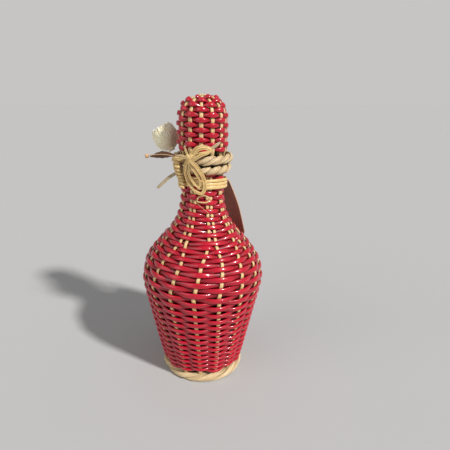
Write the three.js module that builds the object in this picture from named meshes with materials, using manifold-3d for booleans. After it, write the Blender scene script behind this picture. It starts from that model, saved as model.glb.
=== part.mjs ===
// A wicker-covered fiasco: a glass bottle in a woven jacket of sixteen natural stakes and two red weavers,
// with a woven cap that lifts off together with its cork, a raffia bow with a flower, and a tag on a string.
// Millimetres, +Z up. The origin is the middle of the foot. The bow faces -Y.

import * as THREE from 'three';
import { mergeVertices } from 'three/addons/utils/BufferGeometryUtils.js';
import Module from 'manifold-3d';

const wasm = await Module();
wasm.setup();

// Gaps
const clearance = 0.3;
const strandGap = 0.5;
const rowGap = 0.35;
const cutOverrun = 5;

// Glass bottle
const bellyRadius = 54.1;
const heelRadius = 34.7;
const neckRadius = 14;
const wallThickness = 2.8;
const boreRadius = 9.3;
const finishRadius = 14.8;
const finishHeight = 15;
const finishRound = 1.6;
const heelRound = 7;
const puntRise = 11;
const bellyRise = 99.3;
const shoulderRise = 83.8;
const neckRise = 65.5;

// Weave
const stakeCount = 16;
const stakeWidth = 2.8;
const stakeThickness = 1.8;
const weaverThickness = 2.4;
const weaverWidth = 4.3;
const weaverTurnStep = 2;
const pairGap = 0.5;
const twistBelly = THREE.MathUtils.degToRad(-5);
const twistNeck = THREE.MathUtils.degToRad(10);
const firstStakeAngle = THREE.MathUtils.degToRad(-3);

// Base
const stickRadius = 1.1;
const sticksPerBundle = 4;
const baseGap = 0.6;
const baseWeaverThickness = 1.7;
const baseWeaverWidth = 3.4;
const baseWeaveStart = 14.8;
const footLift = 0.4;

// Borders
const baseStrandRadius = 2.2;
const neckStrandRadius = 1.8;
const neckPlaitRise = 2.45;
const capStrandRadius = 1.9;
const capPlaitRise = 3.5;
const plaitGap = 0.6;
const footCut = 0.5;
const collarDrop = 45;

// Cap and stopper
const capStakeCount = 13;
const capStakeWidth = 2.8;
const capWallRadius = 19.9;
const capSideRise = 33.6;
const capDomeRise = 18.6;
const capWeaverWidth = 3.8;
const crownStickRadius = 1.2;
const crownSticks = 3;
const crownLength = 13;
const corkLength = 25;
const corkTaper = 0.6;
const corkHeadRadius = 13;
const corkHeadHeight = 11;
const corkHeadRound = 5.5;

// Raffia
const stripWidth = 2.5;
const stripThickness = 1.4;
const stripGap = 0.6;
const wrapTurns = 3;
const wrapDrop = 13.6;
const wrapTilt = 2.5;
const bowLift = 2.8;
const bowThickness = 1.2;
const bowWidth = 2.4;
const knotWidth = 8;
const knotHeight = 6.8;
const knotDepth = 4.8;

// Flower, leaf and berry
const bundleWidth = 6.4;
const bundleThickness = 3.2;
const flowerRadius = 11.6;
const flowerHeight = 25;
const flowerReach = 49;
const flowerFootReach = 34.6;
const stemRadius = 1;
const leafWidth = 6.4;
const leafThickness = 1.2;
const berryRadius = 2;
const stalkRadius = 0.5;
const berryReach = 52;

// Tag
const tagWidth = 24;
const tagLength = 68;
const tagThickness = 1.2;
const tagHoleRadius = 1.6;
const tagMargin = 3.6;
const stringRadius = 0.6;
const stringLoopRadius = 3.4;
const tagAngle = THREE.MathUtils.degToRad(134);
const tagLean = THREE.MathUtils.degToRad(21.5);

const red = 0xb8102c;
const straw = 0xd9bb84;
const raffiaColour = 0xd2b888;
const corkColour = 0xb08a5a;
const creamColour = 0xe6d9b4;
const leafColour = 0x6b4526;
const tagColour = 0x73463c;

const group = new THREE.Group();
const TURN = Math.PI * 2;

function addPiece(name, geometry, colour, roughness = 0.6) {
  const material = new THREE.MeshStandardMaterial({ color: colour, roughness, metalness: 0 });
  const mesh = new THREE.Mesh(geometry, material);
  mesh.name = name;
  group.add(mesh);
  return mesh;
}

// Volume by the divergence theorem, to tell which way a skin faces.
function signedVolume(position, index) {
  const a = new THREE.Vector3();
  const b = new THREE.Vector3();
  const c = new THREE.Vector3();
  let sum = 0;
  for (let i = 0; i < index.length; i += 3) {
    a.fromBufferAttribute(position, index[i]);
    b.fromBufferAttribute(position, index[i + 1]);
    c.fromBufferAttribute(position, index[i + 2]);
    sum += a.dot(b.cross(c));
  }
  return sum;
}

// Closes rows of rings into one skin. Open strands get a flat fan on each end.
function skin(rings, joined = false) {
  const sides = rings[0].length;
  const points = rings.flat();
  const index = [];
  const last = joined ? rings.length : rings.length - 1;
  for (let i = 0; i < last; i += 1) {
    const next = (i + 1) % rings.length;
    for (let k = 0; k < sides; k += 1) {
      const m = (k + 1) % sides;
      const corners = [i * sides + k, i * sides + m, next * sides + m, next * sides + k];
      index.push(corners[0], corners[1], corners[2], corners[0], corners[2], corners[3]);
    }
  }
  if (!joined) {
    const end = (rings.length - 1) * sides;
    for (let k = 1; k < sides - 1; k += 1) {
      index.push(0, k + 1, k, end, end + k, end + k + 1);
    }
  }
  const geometry = new THREE.BufferGeometry().setFromPoints(points);
  if (signedVolume(geometry.getAttribute('position'), index) < 0) index.reverse();
  geometry.setIndex(index);
  geometry.computeVertexNormals();
  return geometry;
}

// One ring of a strand: an oval about a centre, spanned by two half axes.
function ovalRing(centre, halfA, halfB, sides, startAngle = 0) {
  return Array.from({ length: sides }, (_, k) => {
    const t = startAngle + (TURN * k) / sides;
    return centre.clone().addScaledVector(halfA, Math.cos(t)).addScaledVector(halfB, Math.sin(t));
  });
}

// A strand along a curve of points. The wide side faces away from the outward direction that is given.
// Width shares thin it where they are below 1.
function strand(points, outwardAt, width, thickness, sides, joined = false, widthShares = null) {
  const count = points.length;
  const rings = points.map((point, i) => {
    const before = joined ? points[(i + count - 1) % count] : points[Math.max(i - 1, 0)];
    const after = joined ? points[(i + 1) % count] : points[Math.min(i + 1, count - 1)];
    const along = after.clone().sub(before).normalize();
    const outward = outwardAt(point, i);
    outward.addScaledVector(along, -outward.dot(along)).normalize();
    const across = along.clone().cross(outward);
    const part = widthShares ? fromTable(widthShares, i / (count - 1)) : 1;
    const halfWidth = (width / 2) * part;
    return ovalRing(point, outward.multiplyScalar(thickness / 2), across.multiplyScalar(halfWidth), sides);
  });
  return skin(rings, joined);
}

function toManifold(geometry) {
  const bare = new THREE.BufferGeometry();
  bare.setAttribute('position', geometry.getAttribute('position').clone());
  if (geometry.index) bare.setIndex(geometry.index.clone());
  const merged = mergeVertices(bare);
  return new wasm.Manifold(new wasm.Mesh({
    numProp: 3,
    vertProperties: new Float32Array(merged.getAttribute('position').array),
    triVerts: new Uint32Array(merged.index.array),
  }));
}

function fromManifold(solid) {
  const mesh = solid.getMesh();
  const geometry = new THREE.BufferGeometry();
  geometry.setAttribute('position', new THREE.BufferAttribute(new Float32Array(mesh.vertProperties), 3));
  geometry.setIndex(new THREE.BufferAttribute(new Uint32Array(mesh.triVerts), 1));
  geometry.computeVertexNormals();
  return geometry;
}

// A profile of (radius, height) points turned round the Z axis.
function revolve(outline, segments) {
  return new THREE.LatheGeometry(outline, segments).rotateX(Math.PI / 2);
}

function polar(radius, angle, height) {
  return new THREE.Vector3(radius * Math.sin(angle), -radius * Math.cos(angle), height);
}

function outwardFromAxis(point) {
  return new THREE.Vector3(point.x, point.y, 0).normalize();
}

// Straight line between the values of a table of [place share, value] rows.
function fromTable(table, place) {
  let i = 1;
  while (i < table.length - 1 && place > table[i][0]) i += 1;
  const [x0, y0] = table[i - 1];
  const [x1, y1] = table[i];
  return y0 + (y1 - y0) * THREE.MathUtils.clamp((place - x0) / (x1 - x0), 0, 1);
}

// A wall in the (radius, height) plane with a normal at each knot. All that lies on it is placed between
// the same knots, so strands keep their distance whatever the number of knots.
function makeWall(knots) {
  const lengths = [0];
  for (let i = 1; i < knots.length; i += 1) {
    lengths.push(lengths[i - 1] + knots[i].distanceTo(knots[i - 1]));
  }
  const normals = knots.map((knot, i) => {
    const before = knots[Math.max(i - 1, 0)];
    const after = knots[Math.min(i + 1, knots.length - 1)];
    return new THREE.Vector2(after.y - before.y, before.x - after.x).normalize();
  });
  const total = lengths[lengths.length - 1];
  // Point at a length along the wall, moved out along the normal.
  function at(length, offset) {
    const s = THREE.MathUtils.clamp(length, 0, total);
    let i = 1;
    while (i < knots.length - 1 && s > lengths[i]) i += 1;
    const t = (s - lengths[i - 1]) / (lengths[i] - lengths[i - 1]);
    const low = knots[i - 1].clone().addScaledVector(normals[i - 1], offset);
    const high = knots[i].clone().addScaledVector(normals[i], offset);
    return low.lerp(high, t);
  }
  return { knots, lengths, total, at };
}

// A plait of strands that twist round each other: radius of the twist, and of the whole plait.
const twistRadius = (strandRadius, strands) => (strandRadius + plaitGap / 2) / Math.sin(Math.PI / strands);
const plaitRadius = (strandRadius, strands) => twistRadius(strandRadius, strands) + strandRadius;

// Base: heights follow from the plaited foot and the sticks that cross in it.
const baseDepth = stickRadius + baseGap + baseWeaverThickness;
const stickHeight = footLift + baseDepth;
const glassBottom = stickHeight + baseDepth + clearance;
const baseStrands = 3;
const borderStrands = 2;
const basePlaitRadius = plaitRadius(baseStrandRadius, baseStrands);
const jacketBottom = 2 * (basePlaitRadius + clearance) - footCut;

// The side of the glass: heel, belly, shoulder and neck. Shares of the rise and of the change of radius.
const sideShares = [[0, 0], [0.125, 0.15], [0.25, 0.295], [0.375, 0.43], [0.5, 0.56], [0.625, 0.69],
  [0.75, 0.824], [0.875, 0.94], [1, 1]];
const shoulderShares = [[0.083, 0.961], [0.167, 0.882], [0.25, 0.767], [0.333, 0.629], [0.417, 0.472],
  [0.5, 0.327], [0.583, 0.212], [0.667, 0.129], [0.75, 0.071], [0.833, 0.032], [0.917, 0.01], [1, 0]];
const bellyHeight = jacketBottom + bellyRise;
const neckHeight = bellyHeight + shoulderRise;
const mouthHeight = neckHeight + neckRise;
const capBorderDepth = plaitRadius(capStrandRadius, borderStrands);
const capBorderHalf = capPlaitRise + capStrandRadius;
const neckBorderDepth = plaitRadius(neckStrandRadius, borderStrands);
const neckBorderHalf = neckPlaitRise + neckStrandRadius;

const weaveDepth = stakeThickness / 2 + strandGap + weaverThickness;
const wallStandoff = weaveDepth + clearance;

const glassSide = [
  ...sideShares.map(([rise, grow]) => new THREE.Vector2(
    heelRadius + (bellyRadius - heelRadius) * grow,
    jacketBottom + bellyRise * rise,
  )),
  ...shoulderShares.map(([rise, stay]) => new THREE.Vector2(
    neckRadius + (bellyRadius - neckRadius) * stay,
    bellyHeight + shoulderRise * rise,
  )),
];
const sideSteps = 14;
const glassSegments = 16;
const sideKnots = new THREE.SplineCurve(glassSide).getSpacedPoints(sideSteps);

// Bottle: one revolved wall, open at the mouth, with a pushed-up bottom.
function glassBottle() {
  const outline = [
    new THREE.Vector2(0, glassBottom + puntRise),
    new THREE.Vector2(heelRadius - heelRound * 2, glassBottom + puntRise / 4),
    new THREE.Vector2(heelRadius - heelRound, glassBottom),
    new THREE.Vector2(heelRadius - heelRound / 3, glassBottom),
    ...sideKnots,
    new THREE.Vector2(neckRadius, mouthHeight - finishHeight),
    new THREE.Vector2(finishRadius, mouthHeight - finishHeight + finishRound),
    new THREE.Vector2(finishRadius, mouthHeight - finishRound),
    new THREE.Vector2(finishRadius - finishRound, mouthHeight),
    new THREE.Vector2(boreRadius + finishRound / 2, mouthHeight),
    new THREE.Vector2(boreRadius, mouthHeight - finishRound),
    new THREE.Vector2(boreRadius, mouthHeight - finishHeight),
    ...sideKnots.toReversed().filter((_, i) => i % 2 === 1).map((point) => new THREE.Vector2(
      Math.max(point.x - wallThickness, boreRadius),
      point.y,
    )),
    new THREE.Vector2(heelRadius - heelRound, glassBottom + wallThickness * 2),
    new THREE.Vector2(heelRadius - heelRound * 2, glassBottom + puntRise / 4 + wallThickness),
    new THREE.Vector2(0, glassBottom + puntRise + wallThickness),
  ];
  return revolve(outline, glassSegments);
}

// The line of the stakes: the glass side moved out. They end inside the neck border, the weave below it.
const neckBorderHeight = mouthHeight - collarDrop;
const jacketRadius = neckRadius + wallStandoff;
const neckRingRadius = jacketRadius + stakeThickness / 2 + clearance + neckBorderDepth;
const weaveDrop = neckBorderHalf + clearance;

function jacketWall() {
  const side = sideKnots;
  const knots = side.map((point, i) => {
    const before = side[Math.max(i - 1, 0)];
    const after = side[Math.min(i + 1, side.length - 1)];
    const normal = new THREE.Vector2(after.y - before.y, before.x - after.x).normalize();
    return point.clone().addScaledVector(normal, wallStandoff);
  });
  knots[knots.length - 1].x = jacketRadius;
  knots.push(new THREE.Vector2(jacketRadius, neckBorderHeight));
  return makeWall(knots);
}

const wall = jacketWall();

// Stakes draw together in pairs above the shoulder: share of the wall's length, half the spacing in a pair.
const pairStartShare = 0.59;
const pairEndShare = 0.68;
const switchShare = 0.675;

function stakeAngle(j, length) {
  const share = length / wall.total;
  const spacing = TURN / stakeCount;
  const pairHalf = (stakeWidth + pairGap) / jacketRadius / 2;
  const half = fromTable([[pairStartShare, spacing / 2], [pairEndShare, pairHalf]], share);
  const pairCentre = (Math.floor(j / 2) * 2 + 0.5) * spacing;
  const side = j % 2 === 0 ? -1 : 1;
  const twist = fromTable([[0, 0], [0.45, twistBelly], [0.75, twistNeck]], share);
  return firstStakeAngle + pairCentre + side * half + twist;
}

function stake(j) {
  const points = wall.knots.map((knot, i) => polar(knot.x, stakeAngle(j, wall.lengths[i]), knot.y));
  return strand(points, outwardFromAxis, stakeWidth, stakeThickness, 4);
}

// Rows are beaten down tight at the heel and on the shoulder: share of the wall's length, share of the
// weaver's width that one row takes up there.
const packShares = [[0, 0.61], [0.1, 0.64], [0.2, 0.735], [0.33, 0.8], [0.44, 0.99], [0.5, 1], [0.56, 0.905],
  [0.62, 0.84], [0.67, 0.87], [0.75, 0.8], [0.8, 0.815], [0.86, 0.885], [0.92, 0.99], [1, 0.99]];

// Lengths along a wall at which a weaver crosses its stakes, one entry per stake.
function rowLadder(total, rowAt, perRow) {
  const places = [0];
  while (places[places.length - 1] < total) {
    const s = places[places.length - 1];
    places.push(s + rowAt(s / total) / perRow);
  }
  return places;
}

// A weaver's section where it passes a stake: outside it or inside it, as tall as half a row each way.
function crossing(line, length, angle, side, halfRow, depth, thickness) {
  const offset = side * (depth - thickness / 2);
  const centre = line.at(length, offset);
  const normal = line.at(length, offset + thickness / 2).sub(centre);
  const up = new THREE.Vector2(-normal.y, normal.x).setLength(halfRow);
  return ovalRing(
    polar(centre.x, angle, centre.y),
    polar(normal.x, angle, normal.y),
    polar(up.x, angle, up.y),
    4,
  );
}

// One weaver of the chasing pair. It climbs two rows in a turn, and is over every other stake, on the neck
// over every other pair.
const firstEntry = 5;
const entryShift = 4;

function weaver(which) {
  const perRow = stakeCount / weaverTurnStep;
  const pitchAt = (share) => weaverWidth * fromTable(packShares, share) + rowGap;
  const ladder = rowLadder(wall.total, pitchAt, perRow);
  const limit = wall.total - weaveDrop;
  const rings = [];
  let paired = false;
  for (let k = firstEntry; ladder[k] + pitchAt(ladder[k] / wall.total) / 2 < limit; k += 1) {
    const share = ladder[k] / wall.total;
    const turns = stakeCount * Math.ceil(k / stakeCount);
    const j = (entryShift + turns - k + perRow * which) % stakeCount;
    paired ||= share > switchShare && j % 4 === 1;
    const passed = paired ? Math.floor(j / 2) + 1 : j;
    const side = (passed + which) % 2 === 0 ? 1 : -1;
    const halfRow = (pitchAt(share) - rowGap) / 2;
    rings.push(crossing(wall, ladder[k], stakeAngle(j, ladder[k]), side, halfRow, weaveDepth, weaverThickness));
  }
  return skin(rings);
}

// Base: two bundles of sticks cross in the middle and fan out into as many ends as there are stakes.
const bundlePitch = stickRadius * 1.65;
const crossLift = stickRadius + clearance / 2;
const baseRingRadius = heelRadius + wallStandoff - stakeThickness / 2;
const stickReach = baseRingRadius - basePlaitRadius - clearance;
const bundleHalf = (bundlePitch * sticksPerBundle) / 2 + stickRadius / 2;

function stickBundle(lift, quarter) {
  const fan = TURN / stakeCount;
  const sticks = Array.from({ length: sticksPerBundle }, (_, i) => {
    const across = i - (sticksPerBundle - 1) / 2;
    const points = [];
    for (const end of [-1, 1]) {
      const angle = across * fan;
      const far = [stickReach, baseWeaveStart - baseWeaverWidth / 2].map((reach) => new THREE.Vector3(
        end * reach * Math.cos(angle),
        reach * Math.sin(angle),
        stickHeight,
      ));
      const near = new THREE.Vector3(end * bundleHalf, across * bundlePitch, stickHeight + lift);
      points.push(...(end < 0 ? [far[0], far[1], near] : [near, far[1], far[0]]));
    }
    return toManifold(strand(points, () => new THREE.Vector3(0, 0, 1), stickRadius * 2, stickRadius * 2, 6));
  });
  const bundle = sticks.reduce((sum, stick) => sum.add(stick));
  return fromManifold(bundle).rotateZ(quarter);
}

function baseWeaver(which) {
  const start = baseWeaveStart + baseWeaverWidth / 2;
  const floor = makeWall([new THREE.Vector2(start, stickHeight), new THREE.Vector2(stickReach, stickHeight)]);
  const perRow = stakeCount / weaverTurnStep;
  const ladder = rowLadder(floor.total, () => baseWeaverWidth + rowGap, perRow);
  const rings = [];
  for (let k = 0; ladder[k] + baseWeaverWidth / 2 < floor.total; k += 1) {
    const j = (k + perRow * which) % stakeCount;
    const angle = (TURN * (j + 0.5)) / stakeCount;
    const side = (j + which) % 2 === 0 ? 1 : -1;
    rings.push(crossing(floor, ladder[k], angle, side, baseWeaverWidth / 2, baseDepth, baseWeaverThickness));
  }
  return skin(rings);
}

// A border: one unbroken strand goes round the ring as often as the plait has strands, and twists round its
// own earlier turns. Twists and strands have no common divisor, so it closes on itself.
const borderSides = 5;

function border(ringRadius, height, strandRadius, strands, rise, twists, twistSteps) {
  const radius = twistRadius(strandRadius, strands);
  const steps = twists * twistSteps;
  const twistAt = (i) => (TURN * i) / twistSteps;
  const ringAt = (i) => (TURN * strands * i) / steps;
  const points = Array.from({ length: steps }, (_, i) => polar(
    ringRadius + radius * Math.cos(twistAt(i)),
    ringAt(i),
    height + rise * Math.sin(twistAt(i)),
  ));
  const outward = (_, i) => polar(Math.cos(twistAt(i)), ringAt(i), Math.sin(twistAt(i)));
  return strand(points, outward, strandRadius * 2, strandRadius * 2, borderSides, true);
}

const baseTwists = 16;
const neckTwists = 15;
const capTwists = 13;

// The plaited foot is cut flat where it stands.
function baseBorder() {
  const rise = twistRadius(baseStrandRadius, baseStrands);
  const height = basePlaitRadius - footCut;
  const ring = border(baseRingRadius, height, baseStrandRadius, baseStrands, rise, baseTwists, 8);
  const reach = (baseRingRadius + basePlaitRadius + cutOverrun) * 2;
  const slab = wasm.Manifold.cube([reach, reach, cutOverrun], true).translate([0, 0, -cutOverrun / 2]);
  return fromManifold(toManifold(ring).subtract(slab));
}

// Cap: a side, a dome and a cross of sticks at the crown. Shares of the dome's rise and of its radius.
const capBorderHeight = neckBorderHeight + neckBorderHalf + capBorderHalf + clearance;
const capRingRadius = capWallRadius + stakeThickness / 2 + clearance + capBorderDepth;
const capWeaveLift = capBorderHalf + clearance;
const capSideTop = capBorderHeight + capSideRise;
const crownHeight = capSideTop + capDomeRise;
const capFlareShares = [[0, 1], [0.25, 1.02], [0.6, 1.01], [1, 1]];
const domeShares = [[0.3, 0.955], [0.56, 0.86], [0.78, 0.715], [0.93, 0.54], [1, 0.41]];
const capWall = makeWall([
  ...capFlareShares.map(([rise, part]) => new THREE.Vector2(
    capWallRadius * part,
    capBorderHeight + capSideRise * rise,
  )),
  ...domeShares.map(([rise, part]) => new THREE.Vector2(capWallRadius * part, capSideTop + capDomeRise * rise)),
]);
const capTaperShares = [[0, 1], [0.6, 1], [1, 0.5]];

function capStakeAngle(j) {
  return firstStakeAngle + (TURN * j) / capStakeCount;
}

function capStake(j) {
  const points = capWall.knots.map((knot) => polar(knot.x, capStakeAngle(j), knot.y));
  const outward = (_, i) => {
    const low = capWall.at(capWall.lengths[i], 0);
    const normal = capWall.at(capWall.lengths[i], stakeThickness).sub(low);
    return polar(normal.x, capStakeAngle(j), normal.y);
  };
  return strand(points, outward, capStakeWidth, stakeThickness, 4, false, capTaperShares);
}

// With an odd number of stakes one weaver does it all: each turn passes the other side of every stake.
function capWeaver() {
  const pitch = capWeaverWidth + rowGap;
  const ladder = rowLadder(capWall.total, () => pitch, capStakeCount);
  const first = ladder.findIndex((length) => length - pitch / 2 > capWeaveLift);
  const rings = [];
  for (let k = first; ladder[k] + pitch / 2 < capWall.total; k += 1) {
    const j = capStakeCount * Math.ceil(k / capStakeCount) - k;
    const side = k % 2 === 0 ? 1 : -1;
    rings.push(crossing(
      capWall,
      ladder[k],
      capStakeAngle(j),
      side,
      capWeaverWidth / 2,
      weaveDepth,
      weaverThickness,
    ));
  }
  return skin(rings);
}

function crownBundle(lift, quarter) {
  const pitch = crownStickRadius * 1.9;
  const sticks = Array.from({ length: crownSticks }, (_, i) => {
    const across = (i - (crownSticks - 1) / 2) * pitch;
    const stick = new THREE.CylinderGeometry(crownStickRadius, crownStickRadius, crownLength, 8);
    return toManifold(stick.rotateZ(TURN / 4).translate(0, across, crownHeight + lift));
  });
  return fromManifold(sticks.reduce((sum, stick) => sum.add(stick))).rotateZ(quarter);
}

// Stopper: a tapered cork in the bore, and its wide head on the mouth.
function cork() {
  const top = boreRadius - clearance;
  return revolve([
    new THREE.Vector2(0, mouthHeight - corkLength),
    new THREE.Vector2(top - corkTaper, mouthHeight - corkLength),
    new THREE.Vector2(top, mouthHeight),
    new THREE.Vector2(0, mouthHeight),
  ], glassSegments);
}

function corkHead() {
  const low = mouthHeight + clearance;
  const high = low + corkHeadHeight;
  const roundShares = [[0, 1], [0.5, 0.866], [0.866, 0.5]];
  return revolve([
    new THREE.Vector2(0, low),
    new THREE.Vector2(corkHeadRadius, low),
    ...roundShares.map(([rise, out]) => new THREE.Vector2(
      corkHeadRadius - corkHeadRound * (1 - out),
      high - corkHeadRound * (1 - rise),
    )),
    new THREE.Vector2(corkHeadRadius - corkHeadRound, high),
    new THREE.Vector2(0, high),
  ], glassSegments);
}

// Raffia wrap: strips side by side round the neck, one unbroken winding that hangs lower at the back.
const wrapRadius = neckRadius + wallStandoff + weaveDepth + clearance + stripThickness / 2;
const wrapOuter = wrapRadius + stripThickness / 2;
const wrapHeight = neckBorderHeight - wrapDrop;
const wrapStart = THREE.MathUtils.degToRad(-12);
const wrapSteps = 24;

function raffiaWrap() {
  const pitch = stripWidth + stripGap;
  const points = Array.from({ length: wrapTurns * wrapSteps + 1 }, (_, i) => {
    const turn = i / wrapSteps;
    const angle = wrapStart + TURN * turn;
    return polar(wrapRadius, angle, wrapHeight + pitch * (turn - wrapTurns / 2) + wrapTilt * Math.cos(angle));
  });
  const geometry = strand(points, outwardFromAxis, stripWidth, stripThickness, 6);
  const position = geometry.getAttribute('position');
  const sides = 6;
  const here = new THREE.Vector3();
  const there = new THREE.Vector3();
  let least = Infinity;
  for (let i = 0; i < position.count; i += 1) {
    here.fromBufferAttribute(position, i);
    for (let k = i + (wrapSteps / 2) * sides; k < position.count; k += 1) {
      least = Math.min(least, here.distanceTo(there.fromBufferAttribute(position, k)));
    }
  }
  console.log(`raffia_wrap least gap to itself ${least.toFixed(2)} mm`);
  return geometry;
}

// Bow and all that is tied in with it. A route has rows of [share of a turn, share out, share up]: out is 0 on
// the wrap and 1 just outside the cap border's way up, up is 0 at the wrap and 1 at the knot.
const passRadius = capRingRadius + capBorderDepth + clearance + bowThickness / 2;
const layRadius = wrapOuter + clearance + bowThickness / 2;
const knotLevel = capBorderHeight + bowLift;
const outerLoopShares = [[-0.0778, 1.25, 0.84], [-0.0861, 1.06, 0.65], [-0.0889, 0.74, 0.4],
  [-0.0828, 0.32, 0.15], [-0.0625, 0.05, -0.06], [-0.0317, 0.02, -0.21], [-0.0042, 0.02, -0.25],
  [0.0117, 0.03, -0.11], [0.0139, 0.18, 0.1], [0.0042, 0.47, 0.32], [-0.0128, 0.81, 0.55], [-0.03, 1.1, 0.74],
  [-0.0417, 1.25, 0.84]];
const innerLoopShares = [[-0.0642, 1.24, 0.82], [-0.0667, 1, 0.64], [-0.0681, 0.77, 0.45],
  [-0.0597, 0.45, 0.25], [-0.0431, 0.22, 0.08], [-0.0236, 0.15, -0.02], [-0.0119, 0.17, 0.08],
  [-0.0167, 0.45, 0.28], [-0.0306, 0.8, 0.5], [-0.0458, 1.1, 0.69], [-0.0553, 1.24, 0.82]];
const sideLoopShares = [[-0.0375, 1.22, 1.11], [-0.0306, 1.22, 1.23], [-0.015, 1.22, 1.31],
  [0.0108, 1.22, 1.33], [0.0325, 1.22, 1.26], [0.0194, 1.22, 1.16], [-0.0064, 1.22, 1.1], [-0.025, 1.22, 1.03],
  [-0.033, 1.22, 0.965]];
const risingEndShares = [[0.0378, 1.22, 1.28], [0.0606, 1.18, 1.38], [0.0839, 1.1, 1.48]];
const shortEndShares = [[-0.0697, 1.24, 1.12], [-0.0772, 1.24, 1.25], [-0.0847, 1.2, 1.38]];
const bandShares = [[-0.07, 1.36, 1], [-0.0861, 1.42, 0.98], [-0.1, 1.54, 0.95], [-0.1139, 1.66, 0.92],
  [-0.1306, 1.69, 0.89], [-0.1472, 1.66, 0.86]];
const frontTwistShares = [[-0.0339, -0.26, -0.53], [-0.0214, -0.3, -0.4], [0.0092, -0.32, -0.34],
  [0.04, -0.3, -0.4], [0.0467, -0.26, -0.5], [0.0214, -0.24, -0.58], [-0.0153, -0.24, -0.58]];
const bundleShares = [[-0.1306, 0.22, -0.08], [-0.1306, 0.26, 0.14], [-0.1306, 0.82, 0.42],
  [-0.1306, 1.2, 0.66], [-0.1306, 1.22, 0.98]];
const tailShares = [[-0.1528, 0.82, 0.4], [-0.1722, 1.9, 0.22], [-0.1908, 3.5, -0.12]];

function routePoints(shares, steps, closed = false) {
  const knots = shares.map(([turn, out, up]) => polar(
    THREE.MathUtils.lerp(layRadius, passRadius, out),
    TURN * turn,
    THREE.MathUtils.lerp(wrapHeight, knotLevel, up),
  ));
  const curve = new THREE.CatmullRomCurve3(knots, closed);
  return closed ? curve.getSpacedPoints(steps).slice(0, -1) : curve.getSpacedPoints(steps);
}

function ribbon(shares, steps, width, thickness, widthShares = null) {
  return strand(routePoints(shares, steps), outwardFromAxis, width, thickness, 4, false, widthShares);
}

const knotAngle = TURN * -0.0597;

function bowKnot() {
  const knotRadius = THREE.MathUtils.lerp(layRadius, passRadius, 1.36);
  const knot = new THREE.SphereGeometry(1 / 2, 10, 7)
    .scale(knotWidth, knotDepth, knotHeight)
    .rotateZ(knotAngle)
    .translate(...polar(knotRadius, knotAngle, knotLevel).toArray());
  const band = ribbon(bandShares, 12, bowWidth, bowThickness);
  return fromManifold(toManifold(knot).add(toManifold(band)));
}

function stemBundle() {
  return strand(routePoints(bundleShares, 10), outwardFromAxis, bundleWidth, bundleThickness, 8);
}

// Flower: a head of shavings on its stem, which goes round the cap border's way from the bundle's top.
const bundleAngle = TURN * bundleShares[0][0];
const bundleTop = THREE.MathUtils.lerp(wrapHeight, knotLevel, bundleShares[bundleShares.length - 1][2]);
const stemWay = passRadius + stemRadius;
const flowerAngle = TURN * -0.327;
const flowerFoot = polar(flowerFootReach, flowerAngle, bundleTop + flowerHeight * 0.16);
const flowerTop = polar(flowerReach, flowerAngle, bundleTop + flowerHeight * 1.1);
const petalShares = [[0, 0.14], [0.12, 0.4], [0.3, 0.78], [0.5, 0.98], [0.68, 1], [0.84, 0.86], [0.95, 0.55]];
const petalSides = 14;
const petalWave = 0.06;

function flower() {
  const up = flowerTop.clone().sub(flowerFoot).normalize();
  const across = polar(0, 0, 1).cross(up).normalize();
  const away = up.clone().cross(across);
  const rings = petalShares.map(([rise, out], i) => {
    const centre = flowerFoot.clone().addScaledVector(up, flowerHeight * rise);
    return Array.from({ length: petalSides }, (_, k) => {
      const angle = (TURN * k) / petalSides;
      const reach = flowerRadius * out * (1 - petalWave * (1 + Math.cos(angle * 4 + i)));
      return centre.clone()
        .addScaledVector(across, reach * Math.cos(angle))
        .addScaledVector(away, reach * Math.sin(angle));
    });
  });
  const turns = [0.08, 0.35, 0.7, 0.94];
  const stemPoints = turns.map((part) => polar(
    stemWay,
    THREE.MathUtils.lerp(bundleAngle, flowerAngle, part),
    bundleTop + clearance + stemRadius + flowerHeight * 0.14 * part,
  ));
  stemPoints.push(flowerFoot.clone().addScaledVector(up, flowerHeight * 0.2));
  const curve = new THREE.CatmullRomCurve3(stemPoints).getSpacedPoints(10);
  const stem = strand(curve, () => new THREE.Vector3(0, 0, 1), stemRadius * 2, stemRadius * 2, 6);
  return fromManifold(toManifold(skin(rings)).add(toManifold(stem)));
}

// Leaf and berry leave the bundle's top outside the flower's stem.
const leafWay = stemWay + stemRadius + clearance + leafThickness / 2;
const leafShares = [[0, 0.28], [0.2, 0.62], [0.45, 1], [0.7, 0.8], [1, 0.12]];

function leafPoint(part, way, reach, drop) {
  const turn = THREE.MathUtils.lerp(bundleAngle, TURN * -0.225, part ** 0.8);
  return polar(THREE.MathUtils.lerp(way, reach, part ** 1.3), turn, bundleTop + drop(part));
}

function leaf() {
  const drop = (part) => leafWidth * (0.2 + 0.4 * part - 0.9 * part * part);
  const points = Array.from({ length: 9 }, (_, i) => leafPoint(i / 8, leafWay, berryReach * 0.93, drop));
  return strand(points, outwardFromAxis, leafWidth, leafThickness, 4, false, leafShares);
}

function berry() {
  const way = leafWay + leafThickness / 2 + clearance + stalkRadius;
  const drop = (part) => leafWidth * (0.14 + 0.4 * part - 0.9 * part * part);
  const points = Array.from({ length: 9 }, (_, i) => leafPoint(i / 8, way, berryReach, drop));
  const stalk = strand(points, outwardFromAxis, stalkRadius * 2, stalkRadius * 2, 5);
  const fruit = new THREE.SphereGeometry(berryRadius, 8, 6).translate(...points[points.length - 1].toArray());
  return fromManifold(toManifold(stalk).add(toManifold(fruit)));
}

// Tag: a string ring round the back of the wrap's edge, and a card that hangs in it by its hole. The card's
// plane goes through the ring's centre, so the hole slides along the string as the card swings.
const ringCentre = polar(
  wrapOuter + clearance + stringRadius + stringLoopRadius,
  tagAngle,
  wrapHeight + wrapTilt * Math.cos(tagAngle),
);

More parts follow.
